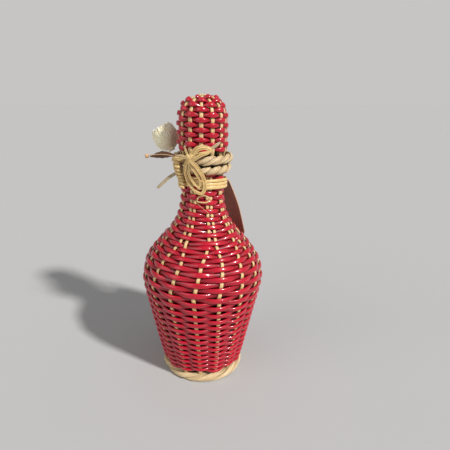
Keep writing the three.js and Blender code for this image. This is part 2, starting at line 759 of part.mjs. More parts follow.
function tagFrame(lean) {
  const across = new THREE.Vector3(Math.cos(tagAngle), Math.sin(tagAngle), 0);
  const out = polar(1, tagAngle, 0);
  const up = new THREE.Vector3(0, 0, Math.cos(lean)).addScaledVector(out, -Math.sin(lean));
  const basis = new THREE.Matrix4().makeBasis(across, up, across.clone().cross(up));
  return basis.setPosition(ringCentre);
}

function tagLoop() {
  return new THREE.TorusGeometry(stringLoopRadius, stringRadius, 5, 14)
    .rotateY(TURN / 4)
    .applyMatrix4(tagFrame(0));
}

function tag() {
  const top = tagMargin - stringLoopRadius;
  const shape = new THREE.Shape();
  shape.moveTo(-tagWidth / 2, top - tagLength);
  shape.lineTo(tagWidth / 2, top - tagLength);
  shape.lineTo(tagWidth / 2, top);
  shape.lineTo(-tagWidth / 2, top);
  shape.closePath();
  const hole = new THREE.Path();
  hole.absarc(0, -stringLoopRadius, tagHoleRadius, 0, TURN, true);
  shape.holes.push(hole);
  return new THREE.ExtrudeGeometry(shape, { depth: tagThickness, bevelEnabled: false, curveSegments: 12 })
    .translate(0, 0, -tagThickness / 2)
    .applyMatrix4(tagFrame(tagLean));
}

addPiece('glass_bottle', glassBottle(), 0x16301c, 0.1);
for (let j = 0; j < stakeCount; j += 1) {
  addPiece(`stake_${String(j + 1).padStart(2, '0')}`, stake(j), straw);
}
addPiece('weaver_a', weaver(0), red, 0.25);
addPiece('weaver_b', weaver(1), red, 0.25);
addPiece('base_sticks_lower', stickBundle(-crossLift, 0), straw);
addPiece('base_sticks_upper', stickBundle(crossLift, TURN / 4), straw);
addPiece('base_weaver_a', baseWeaver(0), straw);
addPiece('base_weaver_b', baseWeaver(1), straw);
addPiece('base_border', baseBorder(), straw);
addPiece(
  'neck_border',
  border(neckRingRadius, neckBorderHeight, neckStrandRadius, borderStrands, neckPlaitRise, neckTwists, 7),
  straw,
);
addPiece('raffia_wrap', raffiaWrap(), raffiaColour);
addPiece('bow_knot', bowKnot(), raffiaColour);
addPiece('bow_loop_outer', ribbon(outerLoopShares, 20, bowWidth, bowThickness), raffiaColour);
addPiece('bow_loop_inner', ribbon(innerLoopShares, 16, bowWidth * 0.62, bowThickness), raffiaColour);
addPiece('bow_loop_side', ribbon(sideLoopShares, 16, bowWidth * 0.75, bowThickness), raffiaColour);
const pointedShares = [[0, 0.8], [0.6, 1], [1, 0.15]];
addPiece('bow_end_rising', ribbon(risingEndShares, 4, bowWidth * 0.9, bowThickness, pointedShares), raffiaColour);
addPiece('bow_end_short', ribbon(shortEndShares, 4, bowWidth, bowThickness, pointedShares), raffiaColour);
addPiece('raffia_tail', ribbon(tailShares, 6, bowWidth * 1.25, bowThickness, pointedShares), raffiaColour);
addPiece(
  'front_twist',
  strand(routePoints(frontTwistShares, 16, true), outwardFromAxis, bowWidth * 0.7, bowThickness, 4, true),
  raffiaColour,
);
addPiece('stem_bundle', stemBundle(), raffiaColour);
addPiece('flower', flower(), creamColour, 0.9);
addPiece('leaf', leaf(), leafColour, 0.8);
addPiece('berry', berry(), corkColour, 0.7);
addPiece('tag_loop', tagLoop(), straw);
addPiece('tag', tag(), tagColour, 0.7);
addPiece('cork', cork(), corkColour, 0.9);
addPiece('cork_head', corkHead(), corkColour, 0.9);
for (let j = 0; j < capStakeCount; j += 1) {
  addPiece(`cap_stake_${String(j + 1).padStart(2, '0')}`, capStake(j), straw);
}
addPiece('cap_weaver', capWeaver(), red, 0.25);
addPiece(
  'cap_border',
  border(capRingRadius, capBorderHeight, capStrandRadius, borderStrands, capPlaitRise, capTwists, 7),
  straw,
);
addPiece('crown_cross_lower', crownBundle(-crownStickRadius - clearance / 2, 0), straw);
addPiece('crown_cross_upper', crownBundle(crownStickRadius + clearance / 2, TURN / 4), straw);

export default group;
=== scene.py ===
import math
import bpy
import numpy as np
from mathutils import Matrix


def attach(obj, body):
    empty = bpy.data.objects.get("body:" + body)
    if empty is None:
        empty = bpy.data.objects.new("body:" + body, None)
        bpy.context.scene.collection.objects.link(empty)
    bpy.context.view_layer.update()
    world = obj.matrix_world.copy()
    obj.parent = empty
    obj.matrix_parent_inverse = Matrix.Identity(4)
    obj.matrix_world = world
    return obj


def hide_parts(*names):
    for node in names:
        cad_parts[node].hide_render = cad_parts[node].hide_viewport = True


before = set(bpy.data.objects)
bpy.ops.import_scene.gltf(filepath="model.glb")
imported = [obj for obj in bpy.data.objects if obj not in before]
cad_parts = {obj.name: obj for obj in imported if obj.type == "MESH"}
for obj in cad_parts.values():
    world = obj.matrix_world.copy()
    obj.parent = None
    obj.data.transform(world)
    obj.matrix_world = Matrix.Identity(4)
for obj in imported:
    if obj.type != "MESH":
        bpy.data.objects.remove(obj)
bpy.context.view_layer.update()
chance = np.random.default_rng(11)
mm = 0.001
turn = 2 * math.pi

# Camera, first of all. The bottle's axis stands a little left of the picture's middle.
cameraSet = {"place": (0, -0.3484, 0.2724), "down": 18.5, "lens": 29.6, "shift": 0.05}

camera = bpy.data.objects.new("camera", bpy.data.cameras.new("camera"))
camera.data.lens = cameraSet["lens"]
camera.data.shift_x = cameraSet["shift"]
camera.location = cameraSet["place"]
camera.rotation_euler = (math.radians(90 - cameraSet["down"]), 0, 0)
bpy.context.scene.collection.objects.link(camera)
bpy.context.scene.camera = camera
print("camera set")


# Point arrays: millimetres, angle 0 at the front and growing to the right.
def polar(radius, angle, height):
    radius, angle, height = np.broadcast_arrays(radius, angle, height)
    return np.stack([radius * np.sin(angle), -radius * np.cos(angle), height], axis=-1).astype(float)


def unit(vectors):
    return vectors / np.maximum(np.linalg.norm(vectors, axis=-1, keepdims=True), 1e-12)


# The angles of a whole turn in equal steps
def roundSteps(count):
    return np.linspace(0, turn, count, endpoint=False)


# Out and in: the sine of a straight line that goes from side to side, each of them 1 or -1
def swayOf(place, places, sides):
    return np.sin(np.interp(place, places, sides) * math.pi / 2)


# A strand's size by how far its end is: whole, and narrowing to the end size over the end length
def narrowed(far, look):
    return np.minimum(1, far / look["endLength"]) * (1 - look["endSize"]) + look["endSize"]


# The length along a line from its first point to each of its points
def runLengths(points):
    return np.concatenate([[0], np.cumsum(np.linalg.norm(np.diff(points, axis=0), axis=1))])


# A shell: a grid of points, round in its second way. Tuck is how deep a point is hidden, which the strand
# finishes paint as shade and the tag card as its rim's colour; shift moves its grain.
def asShell(points, closed=False, tuck=0.0, shift=0.0):
    return {"points": points, "closed": closed, "tuck": np.broadcast_to(tuck, points.shape[:2]), "shift": shift}


# How deep hidden by a straight line of some value, kept between 0 and high
def tuckBy(value, start, slope, high=1.0):
    return np.clip(start + slope * value, 0, high)


# The same line in steps of one length
def evenly(points, count, closed=False):
    lengths = runLengths(points)
    even = np.linspace(0, lengths[-1], count, endpoint=not closed)
    return np.stack([np.interp(even, lengths, points[:, k]) for k in range(points.shape[1])], axis=-1)


# A smooth line through knots: a cubic between each two, whose slope at a knot is half the way from the knot
# before to the knot after. It is then cut into steps of one length.
def smoothLine(knots, count, closed=False):
    p = np.asarray(knots, float)
    last = len(p) if closed else len(p) - 1
    u = np.linspace(0, last, count * 8, endpoint=not closed)
    i = np.minimum(u.astype(int), last - 1)
    t = (u - i)[:, None]
    if closed:
        a, b, c, d = (p[(i + k) % len(p)] for k in (-1, 0, 1, 2))
    else:
        full = np.vstack([2 * p[0] - p[1], p, 2 * p[-1] - p[-2]])
        a, b, c, d = (full[i + k] for k in (0, 1, 2, 3))
    line = 0.5 * (2 * b + (c - a) * t + (2 * a - 5 * b + 4 * c - d) * t**2 + (3 * b - a - 3 * c + d) * t**3)
    return evenly(np.vstack([line, line[:1]]) if closed else line, count, closed)


# Directions at each point of a path: outward made square to the path, and across, which is path x outward
def directions(path, outward, closed=False):
    along = unit(np.roll(path, -1, 0) - np.roll(path, 1, 0) if closed else np.gradient(path, axis=0))
    out = unit(outward - along * np.sum(outward * along, axis=-1, keepdims=True))
    return out, np.cross(along, out)


# A strand: at each point of a path an oval, its thin way along the outward direction and its wide way along
# path x outward. Squareness below 1 fills the oval's corners; ridges add a ripple of cos(ridges * angle).
def strand(path, outward, width, thickness, sides=14, closed=False, squareness=1.0, ridges=0, ridgeDepth=0.0,
           tuck=0.0, shift=0.0):
    out, across = directions(path, outward, closed)
    t = roundSteps(sides)
    ripple = 1 + ridgeDepth * np.cos(ridges * t)
    thin, wide = ((np.sign(way) * np.abs(way) ** squareness * ripple)[:, None] for way in (np.cos(t), np.sin(t)))
    halfThick, halfWide = (np.reshape(size, (-1, 1, 1)) / 2 for size in (thickness, width))
    points = path[:, None] + out[:, None] * thin * halfThick + across[:, None] * wide * halfWide
    return asShell(points, closed, np.reshape(tuck, (-1, 1)), shift)


# A turned shape: a profile of (radius, height) carried round the Z axis in equal steps. The profile begins
# and ends on the axis or closes on itself.
def turned(profile, segments):
    profile = np.asarray(profile, float)
    return asShell(polar(profile[:, None, 0], roundSteps(segments)[None, :], profile[:, None, 1]))


# Puts shells into one mesh. An open one gets a fan on each end. UV is millimetres: across first, along second.
def addPiece(name, shells, material, body, nodes):
    points, loops, starts, uvs, tucks = [], [], [], [], []
    base, count = 0, 0
    for shell in shells if isinstance(shells, list) else [shells]:
        grid = shell["points"]
        rows, sides = grid.shape[:2]
        flat, tuck = grid.reshape(-1, 3), shell["tuck"].ravel()
        nextRow = np.vstack([flat, flat[:sides]]).reshape(-1, sides, 3) if shell["closed"] else grid
        along = runLengths(nextRow.mean(1)) + shell["shift"]
        ring = np.concatenate([grid, grid[:, :1]], axis=1)
        around = np.concatenate([[0], np.cumsum(np.linalg.norm(np.diff(ring, axis=1), axis=2).mean(0))])
        spans = rows if shell["closed"] else rows - 1
        i, k = (a.ravel() for a in np.meshgrid(np.arange(spans), np.arange(sides), indexing="ij"))
        m, n = (k + 1) % sides, (i + 1) % rows
        quads = np.stack([i * sides + k, i * sides + m, n * sides + m, n * sides + k], axis=1)
        corners = [(k, i), (k + 1, i), (k + 1, i + 1), (k, i + 1)]
        faces = [quads]
        faceUvs = [np.stack([np.stack([around[across], along[up]], 1) for across, up in corners], axis=1)]
        if not shell["closed"]:
            flat = np.vstack([flat, grid[0].mean(0), grid[-1].mean(0)])
            tuck = np.concatenate([tuck, [tuck[0], tuck[-1]]])
            s = np.arange(sides)
            r = (s + 1) % sides
            low, high, end = rows * sides, rows * sides + 1, (rows - 1) * sides
            lowFan = np.stack([np.full(sides, low), r, s], 1)
            faces.append(np.vstack([lowFan, np.stack([np.full(sides, high), end + s, end + r], 1)]))
            triUvs = np.zeros((2 * sides, 3, 2))
            triUvs[:, :, 0] = np.tile(np.stack([around[:-1], around[1:], around[:-1]], 1), (2, 1))
            triUvs[:sides, :, 1] = along[0]
            triUvs[sides:, :, 1] = along[-1]
            faceUvs.append(triUvs)
        a, b, c, d = (flat[quads[:, corner]] - flat.mean(0) for corner in range(4))
        volume = np.sum(a * np.cross(b, c)) + np.sum(a * np.cross(c, d))
        for part, partUv in zip(faces, faceUvs):
            if volume < 0:
                part, partUv = part[:, ::-1], partUv[:, ::-1]
            loops.append((part + base).ravel())
            uvs.append(partUv.reshape(-1, 2))
            starts.append(count + np.arange(len(part)) * part.shape[1])
            count += part.size
        points.append(flat)
        tucks.append(tuck)
        base += len(flat)
    points, loops, starts, uvs, tucks = (np.concatenate(part) for part in (points, loops, starts, uvs, tucks))
    mesh = bpy.data.meshes.new(name)
    mesh.vertices.add(len(points))
    mesh.vertices.foreach_set("co", (points * mm).astype(np.float32).ravel())
    mesh.loops.add(len(loops))
    mesh.loops.foreach_set("vertex_index", loops.astype(np.int32))
    mesh.polygons.add(len(starts))
    mesh.polygons.foreach_set("loop_start", starts.astype(np.int32))
    mesh.update(calc_edges=True)
    mesh.polygons.foreach_set("use_smooth", np.full(len(starts), True))
    mesh.uv_layers.new(name="strand").data.foreach_set("uv", uvs.astype(np.float32).ravel())
    mesh.attributes.new("tuck", "FLOAT", "POINT").data.foreach_set("value", tucks.astype(np.float32))
    mesh.materials.append(material)
    mesh.update()
    piece = bpy.data.objects.new(name, mesh)
    bpy.context.scene.collection.objects.link(piece)
    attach(piece, body)
    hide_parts(*nodes)


# A colour of 0 to 255 in linear light, by the sRGB curve
def srgb(*colour):
    return tuple(((c / 255 + 0.055) / 1.055) ** 2.4 if c > 10 else c / 255 / 12.92 for c in colour) + (1.0,)


# Shader helpers. An input takes a value, or a link when it is given another node's output.
def setInputs(node, values):
    for title, value in values.items():
        if isinstance(value, bpy.types.NodeSocket):
            node.id_data.links.new(value, node.inputs[title])
        else:
            node.inputs[title].default_value = value


def addNode(tree, kind, inputs=None, **settings):
    made = tree.nodes.new(kind)
    for key, value in settings.items():
        setattr(made, key, value)
    setInputs(made, inputs or {})
    return made


def mixColour(tree, share, first, second):
    return addNode(tree, "ShaderNodeMix", {0: share, 6: first, 7: second}, data_type="RGBA").outputs[2]


def noiseOf(tree, place, scale, detail, roughness=0.5):
    inputs = {"Vector": place, "Scale": scale, "Detail": detail, "Roughness": roughness}
    return addNode(tree, "ShaderNodeTexNoise", inputs).outputs["Fac"]


# Stretches low to high over 0 to 1, or with way "To" stretches 0 to 1 over low to high.
def mapRange(tree, value, low, high, way="From"):
    inputs = {"Value": value, f"{way} Min": low, f"{way} Max": high}
    return addNode(tree, "ShaderNodeMapRange", inputs).outputs[0]


def product(tree, first, second):
    return addNode(tree, "ShaderNodeMath", {0: first, 1: second}, operation="MULTIPLY").outputs[0]


def bumpOf(tree, height, strength, distance):
    inputs = {"Height": height, "Strength": strength, "Distance": distance}
    return addNode(tree, "ShaderNodeBump", inputs).outputs[0]


def newMaterial(name):
    material = bpy.data.materials.new(name)
    material.use_nodes = True
    return material, material.node_tree, material.node_tree.nodes["Principled BSDF"]


# Fibres: noise drawn out along the strand, between a dark and a light colour; slow blotches along it mix in a
# third, and where the strand is tucked in, painted shade darkens it towards the shade colour. Height is the same
# fibres, for a bump.
fibreSet = {"fineStretch": (1.0, 0.045, 1.0), "slowStretch": (0.12, 0.05, 1.0), "spread": (0.3, 0.66),
            "patches": (0.45, 0.7), "dim": 0.72, "shade": (0.03, 0.012, 0.008, 1)}


def fibreGroup():
    tree = bpy.data.node_groups.new("fibres", "ShaderNodeTree")
    for way, kind, titles in (
        ("INPUT", "NodeSocketColor", ("Light", "Dark", "Blotch")),
        ("INPUT", "NodeSocketFloat", ("Fineness", "Blotch Share", "Tucked Shade")),
        ("OUTPUT", "NodeSocketColor", ("Color",)),
        ("OUTPUT", "NodeSocketFloat", ("Height", "Fibre")),
    ):
        for title in titles:
            tree.interface.new_socket(title, in_out=way, socket_type=kind)
    given = tree.nodes.new("NodeGroupInput").outputs
    place = addNode(tree, "ShaderNodeUVMap", uv_map="strand").outputs[0]
    drawn, slow = (
        addNode(tree, "ShaderNodeVectorMath", {0: place, 1: fibreSet[stretch]}, operation="MULTIPLY").outputs[0]
        for stretch in ("fineStretch", "slowStretch"))
    fine = noiseOf(tree, drawn, given["Fineness"], 4.0, 0.65)
    patchy = mapRange(tree, noiseOf(tree, slow, 1.0, 3.0, 0.6), *fibreSet["patches"])
    spread = mapRange(tree, fine, *fibreSet["spread"])
    deep = addNode(tree, "ShaderNodeAttribute", attribute_name="tuck").outputs["Fac"]
    bare = mixColour(tree, spread, given["Dark"], given["Light"])
    bare = mixColour(tree, product(tree, patchy, given["Blotch Share"]), bare, given["Blotch"])
    # Painted shade: the colour dimmed towards the near-black shade colour, as far as the strand is tucked in
    dim = mixColour(tree, fibreSet["dim"], bare, fibreSet["shade"])
    shaded = mixColour(tree, product(tree, deep, given["Tucked Shade"]), bare, dim)
    addNode(tree, "NodeGroupOutput", {"Color": shaded, "Height": fine, "Fibre": spread})
    return tree


fibres = fibreGroup()


# A strand finish: the fibres' colour, roughness from dull to shiny along them, and their height as a bump.
def strandFinish(name, light, dark, blotch, fineness, blotches, tucked, rough, bump, depth, more):
    material, tree, shader = newMaterial(name)
    given = {"Light": srgb(*light), "Dark": srgb(*dark), "Blotch": srgb(*blotch), "Fineness": fineness,
             "Blotch Share": blotches, "Tucked Shade": tucked}
    drawn = addNode(tree, "ShaderNodeGroup", given, node_tree=fibres).outputs
    setInputs(shader, {"Base Color": drawn["Color"], "Roughness": mapRange(tree, drawn["Fibre"], *rough, "To"),
                       "Normal": bumpOf(tree, drawn["Height"], bump, depth), **more})
    return material


# Each: light, dark and blotch colours, fineness, share of blotches, painted shade where tucked in, roughness
# from dull to shiny, bump and its depth in metres, and what else its surface has
finishSet = {
    "redWillow": ((208, 6, 44), (150, 1, 26), (176, 20, 50), 1.6, 0.45, 0.7, (0.42, 0.3), 0.14, 0.0003,
                  {"Coat Weight": 0.7, "Coat Roughness": 0.1, "Specular IOR Level": 0.3}),
    "paleWillow": ((244, 214, 158), (202, 164, 104), (178, 132, 78), 3.2, 0.45, 0.5, (0.6, 0.42), 0.3, 0.0003,
                   {"Coat Weight": 0.12, "Coat Roughness": 0.3}),
    "plaitWillow": ((255, 236, 190), (208, 166, 108), (180, 128, 78), 2.6, 0.65, 0.6, (0.65, 0.45), 0.45, 0.0004,
                    {"Coat Weight": 0.08, "Coat Roughness": 0.3}),
    "raffiaStraw": ((255, 228, 160), (198, 150, 82), (176, 126, 64), 3.4, 0.35, 0.55, (0.5, 0.32), 0.5, 0.0003,
                    {"Coat Weight": 0.2, "Coat Roughness": 0.2}),
    "greyRaffia": ((206, 186, 150), (142, 120, 86), (160, 146, 108), 3.0, 0.5, 0.4, (0.65, 0.5), 0.5, 0.0003,
                   {}),
    "creamShaving": ((255, 248, 222), (236, 221, 180), (246, 233, 198), 2.4, 0.5, 0.3, (0.85, 0.7), 0.5, 0.0003,
                     {"Subsurface Weight": 0.35, "Subsurface Radius": (1.0, 0.85, 0.6),
                      "Subsurface Scale": 0.004, "Sheen Weight": 0.15}),
    "dryLeaf": ((122, 80, 44), (62, 36, 20), (44, 26, 18), 1.2, 0.6, 0.4, (0.7, 0.5), 0.7, 0.0005, {}),
    "berrySkin": ((222, 184, 140), (186, 140, 98), (236, 208, 170), 0.8, 0.4, 0.3, (0.5, 0.35), 0.3, 0.0003, {}),
    "tagString": ((226, 206, 166), (166, 138, 94), (190, 164, 120), 4.0, 0.4, 0.4, (0.9, 0.8), 0.5, 0.0002, {}),
}
redWillow, paleWillow, plaitWillow, raffiaStraw, greyRaffia, creamShaving, dryLeaf, berrySkin, tagString = (
    strandFinish(name, *values) for name, values in finishSet.items())
print("strand finishes made")

# The glass's outer side, [radius, height], from the heel to the end of the shoulder
glassSet = {
    "side": [[34.700, 10.274], [37.901, 23.947], [40.975, 37.649], [43.839, 51.397], [46.624, 65.161],
             [49.481, 78.910], [52.219, 92.683], [54.011, 106.613], [51.096, 120.152], [43.642, 132.017],
             [34.538, 142.703], [25.616, 153.535], [19.007, 165.885], [15.280, 179.399], [14.000, 193.374]],
    "standoff": 4.1, "neckEnd": 213.874, "mouth": 258.874, "neckRadius": 14.0, "bore": 9.3, "wall": 2.8,
    "segments": 96,
}


# A wall line in (radius, height) that the weave lies on: knots on the side moved out along its normal, with the
# length along it counted from knot to knot. It is stretched straight on past both ends.
def makeWall(knots, before, after):
    lengths = runLengths(knots)
    smooth = smoothLine(knots, 600)
    chord = runLengths(smooth)
    nearest = np.array([np.argmin(np.linalg.norm(smooth - knot, axis=1)) for knot in knots])
    length = np.interp(chord, chord[nearest], lengths)
    slope = unit(np.gradient(smooth, axis=0))
    start, end = smooth[0] - slope[0] * before, smooth[-1] + slope[-1] * after
    slope = np.vstack([slope[:1], slope, slope[-1:]])
    return {
        "length": np.concatenate([[-before], length, [lengths[-1] + after]]),
        "line": np.vstack([start, smooth, end]),
        "normal": np.stack([slope[:, 1], -slope[:, 0]], axis=-1),
        "total": lengths[-1],
    }


def onWall(wall, length, offset):
    columns = (*wall["line"].T, *wall["normal"].T)
    r, z, nr, nz = (np.interp(length, wall["length"], column) for column in columns)
    return r + nr * offset, z + nz * offset


def wallOutward(wall, length, angle):
    nr, nz = (np.interp(length, wall["length"], column) for column in wall["normal"].T)
    return unit(polar(nr, angle, nz))


side = np.array(glassSet["side"])
sideStep = np.vstack([side[1] - side[0], side[2:] - side[:-2], side[-1] - side[-2]])
sideOut = unit(np.stack([sideStep[:, 1], -sideStep[:, 0]], axis=-1))
jacketKnots = side + sideOut * glassSet["standoff"]
jacketKnots[-1, 0] = glassSet["neckRadius"] + glassSet["standoff"]
jacketKnots = np.vstack([jacketKnots, [jacketKnots[-1, 0], glassSet["neckEnd"]]])
jacketWall = makeWall(jacketKnots, 3.4, 3.0)

# Weave of the jacket. Crimp is how far a stake gives way to a weaver, swing how far the weaver goes.
weaveSet = {
    "stakes": 16, "stakeWidth": 2.8, "stakeThick": 1.7, "crimp": 0.75, "swing": 1.9, "lift": 0.0,
    "weaverWidth": 4.3, "weaverThick": 2.5, "rowGap": 0.35, "first": 5, "shift": 4, "stop": -0.6,
    "pairs": [0.59, 0.68], "switch": 0.675, "pairGap": 0.5, "firstAngle": -3.0,
    "twist": [[0, 0.45, 0.75], [0, -5.0, 10.0]], "stakeEnds": (-3.2, 2.4), "step": 0.75,
    "footWide": [[100, 140], [1.28, 1.0]],
    "pack": [[0, .1, .2, .33, .44, .5, .56, .62, .67, .75, .8, .86, .92, 1],
             [.61, .64, .735, .8, .99, 1, .905, .84, .87, .8, .815, .885, .99, .99]],
    "overWide": 1.12, "crossWide": 0.98, "underWide": 1.0, "steps": 10, "seed": 21,
    "stakeWave": (0.03, 0.21, 1.7),
}


def stakeAngle(j, length):
    share = length / jacketWall["total"]
    spacing = turn / weaveSet["stakes"]
    pairHalf = (weaveSet["stakeWidth"] + weaveSet["pairGap"]) / jacketKnots[-1, 0] / 2
    low, high = weaveSet["pairs"]
    half = np.interp(share, [low, high], [spacing / 2, pairHalf])
    twist = np.radians(np.interp(share, *weaveSet["twist"]))
    centre = (j // 2 * 2 + 0.5) * spacing
    return math.radians(weaveSet["firstAngle"]) + centre + np.where(j % 2 == 0, -1, 1) * half + twist


# Crossings of one weaver: the length at which it passes each stake, found by adding up rows, whose height
# changes along the wall; the stake that it passes, and the side, out or in.
def crossings(which):
    fine = np.linspace(0, jacketWall["total"], 4000)
    pack = np.interp(fine / jacketWall["total"], *weaveSet["pack"])
    pitch = weaveSet["weaverWidth"] * pack + weaveSet["rowGap"]
    perRow = weaveSet["stakes"] // 2
    passed = np.concatenate([[0], np.cumsum(np.diff(fine) * perRow / pitch[:-1])])
    k = np.arange(weaveSet["first"], int(passed[-1]))
    length = np.interp(k, passed, fine)
    here = np.interp(length, fine, pitch)
    keep = length + here / 2 < jacketWall["total"] - weaveSet["stop"]
    k, length, here = k[keep], length[keep], here[keep]
    n = weaveSet["stakes"]
    j = (weaveSet["shift"] + n * np.ceil(k / n).astype(int) - k + perRow * which) % n
    ready = (length / jacketWall["total"] > weaveSet["switch"]) & (j % 4 == 1)
    paired = np.cumsum(ready) > 0
    count = np.where(paired, j // 2 + 1, j)
    out = np.where((count + which) % 2 == 0, 1.0, -1.0)
    return {"stake": j, "length": length, "side": out, "pitch": here}


rows = [crossings(0), crossings(1)]

# A weaver's line: from crossing to crossing it climbs evenly and swings sin-like between the outside and the
# inside of the stakes; it is wide where it lies outside and narrow where it slips between rows.
# Painted shade: tuck darkens a weaver where it goes in behind the stakes
weaverSet = {"sides": 14, "squareness": 0.86, "varyWide": 0.035, "varyThick": 0.03, "endLength": 0.25,
             "endSize": 0.3, "trim": 0.1, "tuck": (0.5, -0.62), "shift": 3000.0}


def weaverShell(wall, angleOf, row, look, seed):
    angle = np.unwrap(angleOf(row["stake"], row["length"]))
    k = np.arange(len(angle))
    t = np.linspace(0, k[-1], k[-1] * look["steps"] + 1)
    sway = swayOf(t, k, row["side"])
    length, line, pitch = (np.interp(t, k, part) for part in (row["length"], angle, row["pitch"]))
    r, z = onWall(wall, length, look["lift"] + look["swing"] * sway)
    outness = np.interp(sway, [-1, 0, 1], [look["underWide"], look["crossWide"], look["overWide"]])
    roll = np.random.default_rng(seed)
    varyWide, varyThick = (np.interp(t, k, 1 + weaverSet[part] * roll.standard_normal(len(k)))
                           for part in ("varyWide", "varyThick"))
    width = (pitch - weaverSet["trim"]) * outness * varyWide
    thick = look["weaverThick"] * varyThick
    ends = narrowed(np.minimum(t, k[-1] - t), weaverSet)
    return strand(polar(r, line, z), wallOutward(wall, length, line), width * ends, thick * ends,
                  sides=weaverSet["sides"], squareness=weaverSet["squareness"],
                  tuck=tuckBy(sway, *weaverSet["tuck"]), shift=weaverSet["shift"] * (seed % 7))


for which, row in enumerate(rows):
    shell = weaverShell(jacketWall, stakeAngle, row, weaveSet, weaveSet["seed"] + which)
    addPiece(f"jacketWeaver{'AB'[which]}", shell, redWillow, "bottle", [f"weaver_{'ab'[which]}"])
print("jacket weavers made")


# A stake's line: up the wall at its own angle, giving way inwards under a weaver and outwards over one, by
# sin of a straight line from crossing to crossing. Beyond its first and last crossing it runs out straight.
# Painted shade: tuck darkens a stake where it goes in under a weaver
stakeSet = {"runOut": 4, "settle": (6, 1), "sides": 12, "squareness": 0.7, "tuck": (0.35, 0.6), "shift": 400.0}


def stakeShell(wall, length, angle, found, look, wide, shift):
    order = np.argsort(found["length"])
    places = found["length"][order]
    first, last = places[0], places[-1]
    sides = np.concatenate([[0], found["side"][order], [0]])
    runOut, (far, near) = stakeSet["runOut"], stakeSet["settle"]
    sway = swayOf(length, np.concatenate([[first - runOut], places, [last + runOut]]), sides)
    weave = np.interp(length, [first - far, first - near, last + near, last + far], [0, 1, 1, 0])
    r, z = onWall(wall, length, weave * look["lift"] - sway * look["crimp"])
    return strand(polar(r, angle, z), wallOutward(wall, length, angle), look["stakeWidth"] * wide,
                  look["stakeThick"], sides=stakeSet["sides"], squareness=stakeSet["squareness"],
                  tuck=tuckBy(sway, *stakeSet["tuck"]), shift=shift)


def stakeCrossings(found, j):
    return {part: np.concatenate([row[part][row["stake"] == j] for row in found]) for part in ("length", "side")}


before, after = weaveSet["stakeEnds"]
depth, pace, step = weaveSet["stakeWave"]
for j in range(weaveSet["stakes"]):
    length = np.arange(before, jacketWall["total"] + after, weaveSet["step"])
    angle = stakeAngle(np.full(len(length), j), np.clip(length, 0, jacketWall["total"]))
    wide = np.interp(length, *weaveSet["footWide"]) * (1 + depth * np.sin(length * pace + j * step))
    found = stakeCrossings(rows, j)
    shell = stakeShell(jacketWall, length, angle, found, weaveSet, wide, stakeSet["shift"] * j)
    addPiece(f"jacketStake{j + 1:02d}", shell, paleWillow, "bottle", [f"stake_{j + 1:02d}"])
print("jacket stakes made")

# Cap: its own wall, thirteen stakes and one weaver
capSet = {
    "stakes": 13, "stakeWidth": 3.6, "stakeThick": 1.7, "crimp": 0.35, "swing": 1.85, "lift": 0.75,
    "weaverWidth": 3.8, "weaverThick": 2.6, "rowGap": 0.35, "weaveLift": 3.7, "radius": 19.9, "foot": 223.824,
    "side": 33.6, "dome": 18.35, "sideShares": [[0, 1], [0.25, 1.02], [0.6, 1.01], [1, 1]],
    "domeShares": [[0.3, 0.955], [0.56, 0.86], [0.78, 0.715], [0.93, 0.54], [1, 0.41]],
    "overWide": 1.16, "crossWide": 0.84, "underWide": 0.8, "steps": 12, "seed": 40, "step": 0.6,
    "topWide": [[0, 0.6, 1], [1, 1, 0.5]], "ends": (0.5, 1.0), "shift": 9000,
}
capWall = makeWall(np.array(
    [[capSet["radius"] * part, capSet["foot"] + capSet["side"] * rise] for rise, part in capSet["sideShares"]]
    + [[capSet["radius"] * part, capSet["foot"] + capSet["side"] + capSet["dome"] * rise]
       for rise, part in capSet["domeShares"]]
), *capSet["ends"])


def capStakeAngle(j, length):
    return math.radians(weaveSet["firstAngle"]) + turn * j / capSet["stakes"] + length * 0


def capCrossings():
    pitch = capSet["weaverWidth"] + capSet["rowGap"]
    n = capSet["stakes"]
    k = np.arange(0, int(capWall["total"] * n / pitch) + 1)
    length = k * pitch / n
    keep = (length - pitch / 2 > capSet["weaveLift"]) & (length + pitch / 2 < capWall["total"])
    k, length = k[keep], length[keep]
    return {"stake": n * np.ceil(k / n).astype(int) - k, "length": length,
            "side": np.where(k % 2 == 0, 1.0, -1.0), "pitch": np.full(len(k), pitch)}


capRow = capCrossings()
shell = weaverShell(capWall, capStakeAngle, capRow, capSet, capSet["seed"])
addPiece("capWeaver", shell, redWillow, "cap", ["cap_weaver"])
for j in range(capSet["stakes"]):
    length = np.arange(0, capWall["total"], capSet["step"])
    wide = np.interp(length / capWall["total"], *capSet["topWide"])
    found = stakeCrossings([capRow], j)
    shift = stakeSet["shift"] * j + capSet["shift"]
    shell = stakeShell(capWall, length, capStakeAngle(j, length), found, capSet, wide, shift)
    addPiece(f"capStake{j + 1:02d}", shell, paleWillow, "cap", [f"cap_stake_{j + 1:02d}"])
print("cap weave made")


# A bunch of fibres along a path: each keeps its own place across and out of it, and wanders a little by a slow
# sine of the length. An open bunch narrows to pinch at its ends; swell widens a bunch place by place.
# Painted shade: a fibre lying deeper in the bunch is darker; a random share on top varies each fibre's tone
bunchSet = {"aside": (0.5, 1.6), "rises": (0.5, 1.5), "riseShare": 0.6, "widths": (0.85, 1.15), "tip": 0.4,
            "lean": 1.2, "sides": 10, "squareness": 0.75, "shift": 900, "tuck": (0.15, -1 / 1.2, 0.7),
            "moreTuck": 0.25}


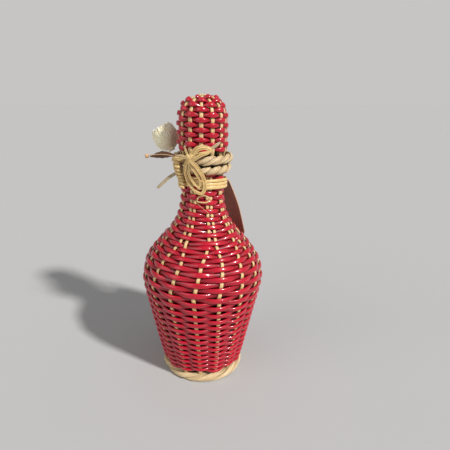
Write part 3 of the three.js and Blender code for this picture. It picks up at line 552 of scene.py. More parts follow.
def bunch(path, outward, look, seed, closed=False):
    roll = np.random.default_rng(seed)
    n, count, crown, pinch = len(path), look["count"], look.get("crown", 0), look.get("pinch", 1)
    out, across = directions(path, outward, closed)
    t = np.linspace(0, 1, n)
    swell = np.broadcast_to(look.get("swell", 1.0), n)
    spread = swell if closed else pinch + (1 - pinch) * np.sin(math.pi * t)
    taper = np.ones(n) if closed else np.interp(t, *look["taper"])
    shells = []
    for i in range(count):
        place = (i + 0.5) / count - 0.5
        cycles = roll.integers(1, look.get("cycles", 3)) if closed else roll.uniform(*bunchSet["aside"])
        wander = np.sin(turn * cycles * t + roll.uniform(0, turn)) * look["wander"]
        rises = cycles if closed else roll.uniform(*bunchSet["rises"])
        rise = np.sin(turn * rises * t + roll.uniform(0, turn)) * look["wander"] * bunchSet["riseShare"]
        sideways = place * look["spread"] * spread + wander
        deep = roll.uniform(-0.5, 0.5) * look["depth"] + rise - crown * (2 * place) ** 2
        width = look["width"] * roll.uniform(*bunchSet["widths"]) * taper * swell
        tilt = roll.uniform(-0.5, 0.5) * look.get("tilt", 1) + crown * place * bunchSet["lean"]
        thick = look["thick"] * (bunchSet["tip"] + (1 - bunchSet["tip"]) * taper)
        shift = roll.uniform(0, bunchSet["shift"])
        tuck = tuckBy(deep, *bunchSet["tuck"]) + roll.uniform(0, bunchSet["moreTuck"])
        line = path + across * sideways[:, None] + out * deep[:, None]
        shells.append(strand(line, unit(out + across * tilt), width, thick, bunchSet["sides"], closed,
                             bunchSet["squareness"], tuck=tuck, shift=shift))
    return shells


# A border: one line goes round the ring as often as the plait has strands, twisting round its own earlier
# turns; the twist's circle is as high as the rise, and it is slowest outside by twist - hold * sin(twist). A
# core lies on the line, and flat strips lie over the core, both widest outside by a cosine of the twist. One
# plain oval strand fills the ring's middle, dark with painted shade. Painted shade also darkens the core, and
# each strand where the twist turns it inward.
plaitSet = {"core": (0.98, 1.35), "coreTuck": 0.5, "middle": 1.85, "middleTuck": 0.9, "over": 0.48, "room": 0.3,
            "waves": (2, 3, 5, 7), "waveUp": 0.8, "tuck": (0.35, -0.6), "tuckShare": 0.6,
            "strip": {"depth": 0.3, "cycles": 9, "wander": 0.2, "tilt": 0.7}, "stripSize": (1.12, 0.64)}


def borderShells(look, seed):
    radius, wide = look["radius"], look["radius"] * look["wide"]
    steps = look["twists"] * look["steps"]
    i = np.arange(steps)
    twist = turn * i / look["steps"]
    twist = twist - look["hold"] * np.sin(twist)
    angle = turn * look["strands"] * i / steps
    reach = (radius + plaitSet["room"]) / math.sin(math.pi / look["strands"])
    rise = look.get("rise", reach)
    roll = np.random.default_rng(seed)
    waves = sum(np.sin(angle * n / look["strands"] + roll.uniform(0, turn)) * look["uneven"] / n
                for n in plaitSet["waves"])
    height = look["height"] + rise * np.sin(twist) + waves * plaitSet["waveUp"]
    path = polar(look["ring"] + reach * np.cos(twist) + waves, angle, height)
    outward = polar(np.cos(twist), angle, np.sin(twist))
    swell = look["slim"] + look["swell"] * np.cos(twist)
    coreWide, coreThick = plaitSet["core"]
    core = strand(path, outward, wide * coreWide * swell, radius * coreThick, sides=18, closed=True,
                  tuck=plaitSet["coreTuck"])
    around = roundSteps(200)
    middle = strand(polar(look["ring"], around, look["height"]), polar(1, around, 0), rise * plaitSet["middle"],
                    reach * plaitSet["middle"], sides=16, closed=True, tuck=plaitSet["middleTuck"])
    stripWide, stripThick = plaitSet["stripSize"]
    shells = [core] + bunch(path + outward * radius * plaitSet["over"], outward, {
        **plaitSet["strip"], "count": look["strips"], "spread": wide, "crown": look["crown"], "swell": swell,
        "width": wide / look["strips"] * stripWide, "thick": radius * stripThick,
    }, seed + 1, True)
    inward = tuckBy(np.cos(twist), *plaitSet["tuck"]) * plaitSet["tuckShare"]
    for shell in shells:
        shell["tuck"] = np.clip(shell["tuck"] + inward[:, None], 0, 1)
        if "flatAt" in look:
            shell["points"][..., 2] = np.maximum(shell["points"][..., 2], look["flatAt"])
    return shells + [middle]


borderSet = {
    "base": {"ring": 37.9, "height": 4.59, "radius": 2.2, "strands": 3, "twists": 10, "steps": 70, "wide": 2.45,
             "strips": 4, "crown": 0.7, "uneven": 0.3, "hold": 0.1, "slim": 0.78, "swell": 0.2, "flatAt": 0.0},
    "neck": {"ring": 23.2, "height": 213.87, "radius": 1.8, "strands": 2, "twists": 15, "steps": 40, "rise": 2.5,
             "wide": 2.6, "strips": 4, "crown": 0.9, "uneven": 0.35, "hold": 0.45, "slim": 0.62, "swell": 0.5},
    "cap": {"ring": 25.2, "height": 223.0, "radius": 1.5, "strands": 3, "twists": 16, "steps": 48, "rise": 3.0,
            "wide": 2.6, "strips": 3, "crown": 0.8, "uneven": 0.55, "hold": 0.3, "slim": 0.72, "swell": 0.36},
}
for name, body, seed in (("base", "bottle", 3), ("neck", "bottle", 5), ("cap", "cap", 8)):
    shells = borderShells(borderSet[name], seed)
    addPiece(f"{name}Border", shells, plaitWillow, body, [f"{name}_border"])
print("borders made")

# Base: two bundles of four straight sticks cross and fan out, and two weavers go round their ends in a spiral,
# over and under by a sine
baseSet = {"stick": 2.2, "lift": 1.25, "pitch": 1.815, "height": 3.8, "half": 4.18, "start": 13.1, "reach": 32.5,
           "ends": 8, "weaverStart": 16.5, "weaverWidth": 3.4, "weaverThick": 1.7, "gap": 0.35, "swing": 2.55}
skyward = np.array([0.0, 0, 1])


def quarterTurn(points):
    return np.stack([-points[:, 1], points[:, 0], points[:, 2]], axis=-1)


# Two bundles on top of each other, the upper one a quarter turn on
def addCrossed(title, node, bundle, lift, body):
    for name, up in (("Lower", -lift), ("Upper", lift)):
        shells = bundle(up, name == "Upper")
        addPiece(f"{title}{name}", shells, paleWillow, body, [f"{node}_{name.lower()}"])


def stickShells(lift, quarter):
    shells = []
    for across in np.arange(4) - 1.5:
        fan = across * turn / 2 / baseSet["ends"]
        far = [[r * math.cos(fan), r * math.sin(fan), baseSet["height"]]
               for r in (baseSet["reach"], baseSet["start"])]
        near = [baseSet["half"], across * baseSet["pitch"], baseSet["height"] + lift]
        knots = np.array([[-x, y, z] for x, y, z in far + [near]] + [near] + far[::-1])
        path = evenly(quarterTurn(knots) if quarter else knots, 90)
        shells.append(strand(path, skyward, baseSet["stick"], baseSet["stick"], sides=14))
    return shells


addCrossed("baseSticks", "base_sticks", stickShells, baseSet["lift"], "bottle")
pitch, ends = baseSet["weaverWidth"] + baseSet["gap"], baseSet["ends"]
count = int((baseSet["reach"] - baseSet["weaverStart"] - baseSet["weaverWidth"] / 2) * ends / pitch) + 1
k = np.arange(count)
t = np.linspace(0, count - 1, (count - 1) * 10 + 1)
for which in (0, 1):
    sway = swayOf(t, k, np.where((k + which) % 2 == 0, 1.0, -1.0))
    height = baseSet["height"] + sway * baseSet["swing"]
    angle = turn * (t + ends * which + 0.5) / 2 / ends
    path = polar(baseSet["weaverStart"] + t * pitch / ends, angle, height)
    shell = strand(path, skyward, baseSet["weaverWidth"], baseSet["weaverThick"], sides=14, squareness=0.8)
    name, node = f"baseWeaver{'AB'[which]}", f"base_weaver_{'ab'[which]}"
    addPiece(name, shell, paleWillow, "bottle", [node])
print("base made")

# Crown: two crossed rows of three sticks on the top of the cap, each bent a little by a sine of its length
crownSet = {"length": 13.0, "height": 276.024, "pitch": 2.28, "lift": 1.35, "width": 2.36, "thick": 2.3,
            "endLength": 0.6, "endSize": 0.65, "steps": 24, "bend": (0.12, 0.4)}


def crownShells(lift, quarter):
    shells = []
    half, (depth, pace) = crownSet["length"] / 2, crownSet["bend"]
    x = np.linspace(-half, half, crownSet["steps"])
    ends = narrowed(half - np.abs(x), crownSet)
    for i in (-1, 0, 1):
        y = i * crownSet["pitch"] + depth * np.sin(x * pace + i)
        path = np.stack([x, y, np.full(len(x), crownSet["height"] + lift)], axis=-1)
        path = quarterTurn(path) if quarter else path
        shells.append(strand(path, skyward, crownSet["width"] * ends, crownSet["thick"] * ends, sides=14))
    return shells


addCrossed("crown", "crown_cross", crownShells, crownSet["lift"], "cap")
print("crown made")

# Raffia wrap: one flat strip climbs evenly for three turns round the neck, lower at the back by a cosine of
# the angle; its radius, height and width waver by sines of the angle, each given as its depth and its pace
wrapSet = {"radius": 22.9, "height": 200.274, "width": 2.9, "thick": 1.35, "pitch": 3.1, "tilt": 2.5, "turns": 3,
           "start": -12.0, "ridges": 11, "ridgeDepth": 0.035, "steps": 150, "endLength": 0.01, "endSize": 0.6,
           "outWaver": (0.08, 5.1), "upWaver": (0.12, 3.3), "wideWaver": (0.05, 2.3)}


def wrapShell():
    turns = wrapSet["turns"]
    t = np.linspace(0, turns, turns * wrapSet["steps"] + 1)
    angle = math.radians(wrapSet["start"]) + turn * t
    outDepth, outPace = wrapSet["outWaver"]
    upDepth, upPace = wrapSet["upWaver"]
    wideDepth, widePace = wrapSet["wideWaver"]
    z = wrapSet["height"] + wrapSet["pitch"] * (t - turns / 2) + wrapSet["tilt"] * np.cos(angle)
    z = z + upDepth * np.sin(angle * upPace + 1)
    path = polar(wrapSet["radius"] + outDepth * np.sin(angle * outPace), angle, z)
    ends = narrowed(np.minimum(t, turns - t), wrapSet)
    width = wrapSet["width"] * (1 + wideDepth * np.sin(angle * widePace)) * ends
    return strand(path, polar(1, angle, 0), width, wrapSet["thick"], sides=32, squareness=0.75,
                  ridges=wrapSet["ridges"], ridgeDepth=wrapSet["ridgeDepth"])


addPiece("raffiaWrap", wrapShell(), raffiaStraw, "bottle", ["raffia_wrap"])

# Bow routes: [share of a turn, share out, share up]. Out runs from the wrap to past the cap's border, up from
# the wrap to the knot.
bowSet = {
    "lay": 24.5, "pass": 30.2, "low": 200.274, "high": 226.62,
    "outer": [[-0.0455, 1.27, 1.1], [-0.0575, 1.36, 1.0], [-0.0725, 1.29, 0.86], [-0.0861, 1.06, 0.65],
              [-0.0889, 0.74, 0.4], [-0.0828, 0.32, 0.15], [-0.0625, 0.05, -0.06], [-0.0317, 0.02, -0.21],
              [-0.0042, 0.02, -0.25], [0.0117, 0.03, -0.11], [0.0139, 0.18, 0.1], [0.0042, 0.47, 0.32],
              [-0.0128, 0.81, 0.55], [-0.03, 1.1, 0.74], [-0.0445, 1.27, 0.84], [-0.06, 1.33, 1.0],
              [-0.072, 1.26, 1.1]],
    "inner": [[-0.062, 1.27, 0.95], [-0.0642, 1.24, 0.82], [-0.0667, 1, 0.64], [-0.0681, 0.77, 0.45],
              [-0.0597, 0.45, 0.25], [-0.0431, 0.22, 0.08], [-0.0236, 0.15, -0.02], [-0.0119, 0.17, 0.08],
              [-0.0167, 0.45, 0.28], [-0.0306, 0.8, 0.5], [-0.0458, 1.1, 0.69], [-0.0553, 1.25, 0.88],
              [-0.058, 1.27, 0.95]],
    "side": [[-0.052, 1.26, 1.03], [-0.0405, 1.23, 1.12], [-0.0306, 1.22, 1.23], [-0.015, 1.22, 1.31],
             [0.0108, 1.22, 1.33], [0.0325, 1.22, 1.26], [0.0194, 1.22, 1.16], [-0.0064, 1.22, 1.1],
             [-0.025, 1.22, 1.03], [-0.037, 1.23, 0.975], [-0.052, 1.26, 0.97]],
    "rising": [[0.0378, 1.22, 1.28], [0.0606, 1.18, 1.38], [0.0839, 1.1, 1.48]],
    "short": [[-0.0635, 1.26, 1.0], [-0.0697, 1.25, 1.12], [-0.0772, 1.24, 1.25], [-0.0847, 1.2, 1.38]],
    "band": [[-0.07, 1.36, 1], [-0.0861, 1.42, 0.98], [-0.1, 1.54, 0.95], [-0.1139, 1.66, 0.92],
             [-0.1306, 1.69, 0.89], [-0.1472, 1.66, 0.86]],
    "twist": [[-0.0339, -0.26, -0.53], [-0.0214, -0.3, -0.4], [0.0092, -0.32, -0.34], [0.04, -0.3, -0.4],
              [0.0467, -0.26, -0.5], [0.0214, -0.24, -0.58], [-0.0153, -0.24, -0.58]],
    "bundle": [[-0.1306, 0.22, -0.08], [-0.1306, 0.26, 0.14], [-0.1306, 0.82, 0.42], [-0.1306, 1.2, 0.66],
               [-0.1306, 1.22, 0.98]],
    "tail": [[-0.1528, 0.82, 0.4], [-0.1722, 1.9, 0.22], [-0.1908, 3.5, -0.12]],
}


def route(name, count, closed=False):
    shares = np.array(bowSet[name], float)
    radius = bowSet["lay"] + (bowSet["pass"] - bowSet["lay"]) * shares[:, 1]
    height = bowSet["low"] + (bowSet["high"] - bowSet["low"]) * shares[:, 2]
    return smoothLine(polar(radius, turn * shares[:, 0], height), count, closed)


def outwardOf(path):
    return unit(path * np.array([1.0, 1.0, 0.0]))


even = [[0, 1], [1, 1]]
pointed = [[0, 0.6, 1], [0.8, 1, 0.12]]
blunt = [[0, 0.3, 0.9, 1], [0.8, 1.15, 0.9, 0.35]]
# Each: route, node, steps, finish, the bunch in the order of bunchParts, and what else its look has
bunchParts = ("count", "spread", "depth", "width", "wander", "taper")
strandSet = {
    "bowLoopOuter": ("outer", "bow_loop_outer", 120, raffiaStraw, (7, 3.4, 0.9, 0.85, 0.42, even),
                     {"pinch": 0.5}),
    "bowLoopInner": ("inner", "bow_loop_inner", 100, raffiaStraw, (4, 2.2, 0.6, 0.8, 0.4, even), {}),
    "bowLoopSide": ("side", "bow_loop_side", 90, raffiaStraw, (6, 4.0, 1.0, 0.95, 0.5, even), {}),
    "bowEndRising": ("rising", "bow_end_rising", 40, greyRaffia, (2, 1.6, 0.3, 2.3, 0.08, pointed), {}),
    "bowEndShort": ("short", "bow_end_short", 40, raffiaStraw, (3, 1.6, 0.4, 1.0, 0.12, pointed), {}),
    "raffiaTail": ("tail", "raffia_tail", 60, greyRaffia, (3, 2.4, 0.3, 1.9, 0.1, blunt),
                   {"facing": (0, -1.6, 0.5)}),
}
for name, (way, node, steps, finish, sizes, more) in strandSet.items():
    look = {"thick": 0.5, **dict(zip(bunchParts, sizes)), **more}
    path = route(way, steps)
    facing = unit(outwardOf(path) + np.array(look.get("facing", (0, 0, 0))))
    addPiece(name, bunch(path, facing, look, len(name) + 50), finish, "bottle", [node])

# Front twist, with one loose thread that falls from it; the thread's knots are [turn share, radius, height]
twistSet = {"count": 3, "spread": 0.9, "depth": 0.4, "width": 0.8, "thick": 0.45, "wander": 0.25,
            "thread": [[-0.036, 23.5, 184.6], [-0.01, 25.0, 181.6], [0.018, 26.2, 178.0], [0.05, 27.4, 172.4]],
            "threadSize": (0.28, 0.24)}
path = route("twist", 90, True)
share, radius, height = np.array(twistSet["thread"]).T
thread = smoothLine(polar(radius, turn * share, height), 50)
shells = bunch(path, outwardOf(path), twistSet, 71, True)
shells.append(strand(thread, outwardOf(thread), *twistSet["threadSize"], sides=6))
addPiece("frontTwist", shells, paleWillow, "bottle", ["front_twist"])

# Knot: a flat strip wound over and over round an oval lump, its plane turning slowly; bands go on round the
# stems
knotSet = {"angle": -0.0597, "out": 1.22, "half": (2.5, 1.3, 1.9), "turns": 11, "width": 0.9, "thick": 0.6,
           "steps": 420, "swingStart": 0.3, "swingHalves": 1.15}
bandSet = {"count": 6, "spread": 2.8, "depth": 0.6, "width": 0.72, "thick": 0.5, "wander": 0.35, "taper": even,
           "pinch": 0.7}


def knotShells():
    t = np.linspace(0, 1, knotSet["steps"])
    swing = t * math.pi * knotSet["swingHalves"] + knotSet["swingStart"]
    lap = turn * knotSet["turns"] * t
    half = np.array(knotSet["half"])
    flat = np.stack([np.cos(lap) * np.cos(swing), np.sin(lap), np.cos(lap) * np.sin(swing)], axis=-1)
    around = turn * knotSet["angle"]
    away = bowSet["lay"] + (bowSet["pass"] - bowSet["lay"]) * knotSet["out"]
    cosine, sine = math.cos(around), math.sin(around)
    turnBy = np.array([[cosine, sine, 0], [-sine, cosine, 0], [0, 0, 1]])
    path = polar(away, around, bowSet["high"]) + flat * half @ turnBy
    wound = strand(path, unit(flat / half) @ turnBy, knotSet["width"], knotSet["thick"],
                   sides=10, squareness=0.7)
    band = route("band", 60)
    bands = bunch(band, outwardOf(band), bandSet, 81)
    # the bands round the stems get a little more painted shade
    for shell in bands:
        shell["tuck"] = np.clip(shell["tuck"] + 0.2, 0, 1)
    return [wound] + bands


addPiece("bowKnot", knotShells(), raffiaStraw, "bottle", ["bow_knot"])

# Stem bundle: thin stems side by side in an oval, slowly twisting, wound with raffia
bundleSet = {"stems": 11, "wide": 2.5, "thick": 0.95, "stem": 1.25, "steps": 70, "twist": 0.7, "laps": 8.5,
             "lapWide": 3.45, "lapThick": 1.95, "lapSteps": 520, "lapWaver": (0.05, 0.37), "inner": 0.35,
             "stemWide": (0.9, 0.2), "stemThick": 0.9, "stemTuck": 0.25, "shift": 300.0,
             "winding": {"count": 2, "spread": 1.5, "depth": 0.2, "width": 1.35, "thick": 0.5, "wander": 0.15,
                         "taper": even}}
steps = bundleSet["steps"]
path = route("bundle", steps)
out, across = directions(path, outwardOf(path))
shells = []
for i in range(bundleSet["stems"]):
    phase = turn * i / bundleSet["stems"] + np.linspace(0, bundleSet["twist"], steps)
    inner = bundleSet["inner"] if i % 3 == 0 else 1.0
    sideways, outwards = np.cos(phase) * bundleSet["wide"] * inner, np.sin(phase) * bundleSet["thick"] * inner
    line = path + across * sideways[:, None] + out * outwards[:, None]
    least, vary = bundleSet["stemWide"]
    wide = bundleSet["stem"] * (least + vary * chance.random())
    thick = bundleSet["stem"] * bundleSet["stemThick"]
    # painted shade on the stems that lie on the bundle's inner side
    tuck = bundleSet["stemTuck"] * (1 - np.sin(phase[0]))
    shells.append(strand(line, out, wide, thick, sides=10, tuck=tuck, shift=bundleSet["shift"] * i))
laps = np.linspace(0, 1, bundleSet["lapSteps"])
spin = turn * bundleSet["laps"] * laps
line, way, outWay = (
    np.stack([np.interp(laps * (steps - 1), np.arange(steps), column) for column in part.T], axis=-1)
    for part in (path, across, out))
depth, pace = bundleSet["lapWaver"]
wobble = 1 + depth * np.sin(spin * pace)
cosine, sine = np.cos(spin)[:, None], np.sin(spin)[:, None]
line = line + (way * cosine * bundleSet["lapWide"] + outWay * sine * bundleSet["lapThick"]) * wobble[:, None]
normal = unit(way * cosine / bundleSet["lapWide"] + outWay * sine / bundleSet["lapThick"])
shells += bunch(line, normal, bundleSet["winding"], 93)
addPiece("stemBundle", shells, raffiaStraw, "bottle", ["stem_bundle"])
print("raffia made")

# Flower: thin shavings gathered at a foot, one cup inside the other. Each cup's reach follows a profile from
# foot to rim; fine pleats cos(pleats * angle) and slow lobes grow towards the rim, whose edge is jagged by a sum
# of sines; there the profile turns over and goes back down inside. The side next to the cap is pressed flat,
# kept at least clear from the axis by a soft maximum.
flowerSet = {
    "foot": 34.6, "top": 48.0, "angle": -0.34, "topAngle": -0.322, "height": 25.2, "radius": 12.4, "pleats": 34,
    "low": 224.4, "clear": 30.2, "softness": 1.4, "cups": (1.0, 0.84, 0.66, 0.48), "stemWay": 31.2, "stem": 1.9,
    "footUp": 0.16, "topUp": 1.1, "rows": 64, "round": 272, "rim": (0.56, 0.16), "sink": 0.02, "apart": 0.5,
    "jag": ((0.4, 19, 1), (0.5, 31, 2), (0.45, 53, 0)), "jagOut": 0.035, "jagUp": 0.04, "lobeUp": 0.008,
    "pleatOut": 0.02, "crinkle": 0.014, "body": 0.95, "rimTuck": (-1.056, 1.6, 0.7), "pleatTuck": 0.12,
    "rise": [0, .05, .13, .26, .42, .58, .74, .88, .93, .88, .72, .5, .3],
    "reach": [.3, .5, .74, .95, 1.04, 1.03, .95, .78, .64, .52, .4, .25, .05],
}


def flowerShells():
    low, height, angle = flowerSet["low"], flowerSet["height"], turn * flowerSet["angle"]
    foot = polar(flowerSet["foot"], angle, low + height * flowerSet["footUp"])
    top = polar(flowerSet["top"], turn * flowerSet["topAngle"], low + height * flowerSet["topUp"])
    up = unit(top - foot)
    across = unit(np.cross(skyward, up))
    away = np.cross(up, across)
    place = np.linspace(0, 1, flowerSet["rows"])[:, None]
    theta = roundSteps(flowerSet["round"])[None]
    knots = np.linspace(0, 1, len(flowerSet["rise"]))
    growing = np.clip(place / 0.6, 0, 1) * np.clip((1.05 - place) / 0.35, 0, 1)
    rimAt, rimWide = flowerSet["rim"]
    rim = np.exp(-((place - rimAt) / rimWide) ** 2)
    shells = []
    for layer, size in enumerate(flowerSet["cups"]):
        rise = np.interp(place, knots, flowerSet["rise"]) * (1.0 - flowerSet["sink"] * layer)
        reach = np.interp(place, knots, flowerSet["reach"]) * size
        pleat = np.cos(theta * flowerSet["pleats"] + layer * 2 + 1.4 * np.sin(theta * 3 + layer))
        lobes = np.cos(theta * 3 + layer * 2) + 0.6 * np.cos(theta * 7 + layer)
        jag = sum(depth * np.sin(theta * pace + step * layer) for depth, pace, step in flowerSet["jag"])
        crinkle = np.sin(place * 46 + layer) * np.sin(theta * 17 + 3 * np.sin(theta * 4)) * growing
        ripple = growing * flowerSet["pleatOut"] * (pleat + lobes) + rim * flowerSet["jagOut"] * jag
        radius = flowerSet["radius"] * reach * (flowerSet["body"] + ripple + flowerSet["crinkle"] * crinkle)
        tall = height * (rise + rim * (flowerSet["jagUp"] * jag + flowerSet["lobeUp"] * lobes))
        sideways, outwards = radius * np.cos(theta), radius * np.sin(theta)
        points = foot + up * tall[..., None] + across * sideways[..., None] + away * outwards[..., None]
        fromAxis = np.linalg.norm(points[..., :2], axis=-1, keepdims=True)
        past = fromAxis - flowerSet["clear"] - layer * flowerSet["apart"]
        points[..., :2] *= (fromAxis + 0.5 * (np.sqrt(past**2 + flowerSet["softness"]) - past)) / fromAxis
        # Painted shade: inside the cup past the rim, and in the hollows of the pleats
        tuck = tuckBy(place, *flowerSet["rimTuck"]) + flowerSet["pleatTuck"] * (1 - pleat) * growing
        shells.append(asShell(points, tuck=tuck, shift=60.0 * layer))
    start = turn * bowSet["bundle"][0][0]
    part = np.array([0.08, 0.35, 0.7, 0.94])
    stem = polar(flowerSet["stemWay"], start + (angle - start) * part, low + 1.3 + height * 0.14 * part)
    stem = smoothLine(np.vstack([stem, foot + up * height * 0.12]), 60)
    return shells + [strand(stem, skyward, flowerSet["stem"], flowerSet["stem"], sides=12)]


addPiece("shavingFlower", flowerShells(), creamShaving, "bottle", ["flower"])

# Leaf and berry leave the bundle's top; both lines turn and reach out by a power of the way along them, and
# rise and then droop by its square
leafSet = {"way": 33.1, "reach": 48.4, "width": 6.4, "top": 226.09, "thick": 0.7, "from": -0.1306, "to": -0.225,
           "turnPower": 0.8, "outPower": 1.3, "climb": 0.4, "droop": 0.9, "lift": 0.2, "ribFold": 0.7,
           "edgeWave": (0.35, 19), "endWave": (0.3, 27), "foldDepth": 0.8, "tuck": (0.7, -1.2),
           "shape": [[0, .1, .25, .45, .7, .9, 1], [.3, .45, .75, 1, .8, .35, .1]]}


def leafLine(part, way, reach, lift):
    angle = turn * (leafSet["from"] + (leafSet["to"] - leafSet["from"]) * part ** leafSet["turnPower"])
    drop = leafSet["width"] * (lift + leafSet["climb"] * part - leafSet["droop"] * part**2)
    return polar(way + (reach - way) * part ** leafSet["outPower"], angle, leafSet["top"] + drop)


# The leaf: a lens-shaped blade along its line, folded a little at the middle rib, its edges waved by a sine
def leafShell():
    part = np.linspace(0, 1, 70)
    path = leafLine(part, leafSet["way"], leafSet["reach"], leafSet["lift"])
    width = leafSet["width"] * np.interp(part, *leafSet["shape"])
    shell = strand(path, outwardOf(path), width, leafSet["thick"], sides=36, squareness=0.9)
    sideways = (shell["points"] - path[:, None])[..., 2] / (leafSet["width"] / 2)
    fromRib, along = np.abs(sideways), part[:, None]
    ribFold, (edgeDepth, edgePace) = leafSet["ribFold"], leafSet["edgeWave"]
    endDepth, endPace = leafSet["endWave"]
    fold = ribFold * (1 - fromRib) ** 2 - ribFold / 2
    fold = fold + edgeDepth * np.sin(along * edgePace + sideways * 2) * fromRib
    shell["points"] = shell["points"] + outwardOf(path)[:, None] * (fold * leafSet["foldDepth"])[..., None]
    shell["points"][..., 2] += np.sign(sideways) * fromRib**3 * endDepth * np.sin(along * endPace)
    # The blade's colour darkens towards its middle rib, through the same tuck
    shell["tuck"] = tuckBy(fromRib, *leafSet["tuck"])
    return shell


addPiece("dryLeaf", leafShell(), dryLeaf, "bottle", ["leaf"])

# The berry: a ball with a shallow bell-shaped dimple at its end and faint lobes by a cosine, on a thin stalk
berrySet = {"way": 34.5, "reach": 51.4, "radius": 2.0, "stalk": 0.72, "lift": 0.14, "rise": 0.2,
            "dimple": 0.12, "lobes": 0.015}
part = np.linspace(0, 1, 60)
path = leafLine(part, berrySet["way"], berrySet["reach"], berrySet["lift"] + berrySet["rise"] * part)
pole = math.pi / 2 * 0.999
up, over = np.meshgrid(np.linspace(-pole, pole, 29), roundSteps(36), indexing="ij")
dimple = berrySet["dimple"] * np.exp(-((up - math.pi / 2) / 0.35) ** 2)
radius = berrySet["radius"] * (1 - dimple + berrySet["lobes"] * np.cos(5 * over) * np.cos(up))
axis = unit(path[-1] - path[-4])
sideA = unit(np.cross(axis, skyward))
sideB = np.cross(axis, sideA)
parts = ((axis, np.sin(up)), (sideA, np.cos(up) * np.cos(over)), (sideB, np.cos(up) * np.sin(over)))
ball = path[-1] + sum(way * (radius * share)[..., None] for way, share in parts)
stalk = strand(path[:-4], outwardOf(path[:-4]), berrySet["stalk"], berrySet["stalk"], sides=10)
addPiece("berry", [asShell(ball), stalk], berrySkin, "bottle", ["berry"])
print("flower, leaf and berry made")

# Glass: the outer side up to the mouth ring, over it, and down the bore and the inner wall
bottleGlass, tree, shader = newMaterial("bottleGlass")
seeds = noiseOf(tree, addNode(tree, "ShaderNodeTexCoord").outputs["Object"], 60.0, 2.0)
tint = mixColour(tree, seeds, (0.02, 0.085, 0.035, 1), (0.045, 0.14, 0.06, 1))
setInputs(shader, {"Base Color": tint, "Normal": bumpOf(tree, seeds, 0.06, 0.001), "Roughness": 0.04, "IOR": 1.5,
                   "Transmission Weight": 0.9})

bore, neck, mouth = glassSet["bore"], glassSet["neckRadius"], glassSet["mouth"]
outer = smoothLine(np.vstack([side, [[neck, 206.0], [neck, 222.0], [neck, 241.0]]]), 130)
inner = outer[::-1] - np.array([glassSet["wall"], 0])
inner[:, 0] = np.maximum(inner[:, 0], bore)
inner = inner[(inner[:, 1] > 22) & (inner[:, 1] < 240)]
foot = smoothLine([[0.02, 18.5], [10, 16.2], [20.7, 10.25], [27.7, 7.5], [31.6, 7.55], [33.9, 8.7]], 40)
lip = smoothLine([[neck, 243.6], [14.5, 244.5], [14.75, 246.5], [14.8, 251], [14.7, 256.6], [13.9, 258.5],
                  [12.2, 258.87], [10.4, 258.7], [9.5, 257.9], [bore, 255]], 60)
floorLine = smoothLine([[34.9, 21], [33.2, 16.4], [27.7, 13.1], [20.7, 13.4], [10, 19.4], [0.02, 21.3]], 40)
shell = turned(np.vstack([foot, outer, lip, [[bore, 246.0]], inner, floorLine]), glassSet["segments"])
addPiece("bottleGlass", shell, bottleGlass, "bottle", ["glass_bottle"])

# Cork and its head: two turned shapes, noise for grain, and dark pores
corkFinish, tree, shader = newMaterial("corkFinish")
spot = addNode(tree, "ShaderNodeTexCoord").outputs["Object"]
pores = addNode(tree, "ShaderNodeTexVoronoi", {"Vector": spot, "Scale": 420.0}).outputs["Distance"]
poreMask = mapRange(tree, pores, 0.12, 0.3)
grain = mixColour(tree, noiseOf(tree, spot, 900.0, 4.0, 0.7), srgb(150, 108, 66), srgb(206, 168, 118))
setInputs(shader, {"Base Color": mixColour(tree, poreMask, srgb(84, 52, 30), grain), "Roughness": 0.9,
                   "Normal": bumpOf(tree, poreMask, 0.6, 0.0004)})

corkSet = {"headGap": 0.3, "head": 11, "headRadius": 13, "headRound": 5.5, "segments": 64, "headSegments": 72,
           "plug": [[0.02, -25], [7.6, -25], [8.2, -24.8], [8.4, -24.2], [9.0, -0.3], [8.9, 0], [0.02, 0]]}
headLow, headRadius, headRound = mouth + corkSet["headGap"], corkSet["headRadius"], corkSet["headRound"]
headHigh = headLow + corkSet["head"]
headProfile = [[0.02, headLow], [12.4, headLow], [12.9, headLow + 0.5], [headRadius, headLow + 2.5]]
headProfile += [[headRadius - headRound * (1 - math.cos(a)), headHigh - headRound * (1 - math.sin(a))]
                for a in np.linspace(0.05, math.pi / 2, 9)] + [[0.02, headHigh]]
plugProfile = np.array(corkSet["plug"]) + np.array([0, mouth])
addPiece("corkPlug", turned(plugProfile, corkSet["segments"]), corkFinish, "cap", ["cork"])
addPiece("corkHead", turned(headProfile, corkSet["headSegments"]), corkFinish, "cap", ["cork_head"])
print("glass and cork made")

# Tag: a card with rounded corners and a hole, hung by a two-ply string. Shares, rims and edges are, ring by
# ring from the hole to the outline, the place, the share of the thickness and how much of the rim's colour
# shows.
tagSet = {
    "centre": (20.0696, 19.3810, 198.5369), "angle": 134.0, "lean": 21.5, "width": 24.0, "length": 68.0,
    "thick": 1.2, "hole": 1.6, "corner": 2.2, "margin": 3.6, "loop": 3.4, "bow": 1.5, "taper": 0.27,
    "taperReach": 0.5, "taperPower": 1.4, "sides": 160,
    "shares": [0, 0.03, 0.1, 0.25, 0.5, 0.75, 0.93, 0.985, 1], "rims": [0.7, 1, 1, 1, 1, 1, 1, 0.86, 0.4],
    "edges": [1, 0.5, 0, 0, 0, 0, 0, 0.5, 1],
}
tagCentre = np.array(tagSet["centre"])
tagAngle, tagLean = math.radians(tagSet["angle"]), math.radians(tagSet["lean"])
tagAcross = np.array([math.cos(tagAngle), math.sin(tagAngle), 0])
tagOut = np.array([math.sin(tagAngle), -math.cos(tagAngle), 0])


def tagFrame(lean):
    up = np.array([0, 0, math.cos(lean)]) - tagOut * math.sin(lean)
    return tagAcross, up, np.cross(tagAcross, up)


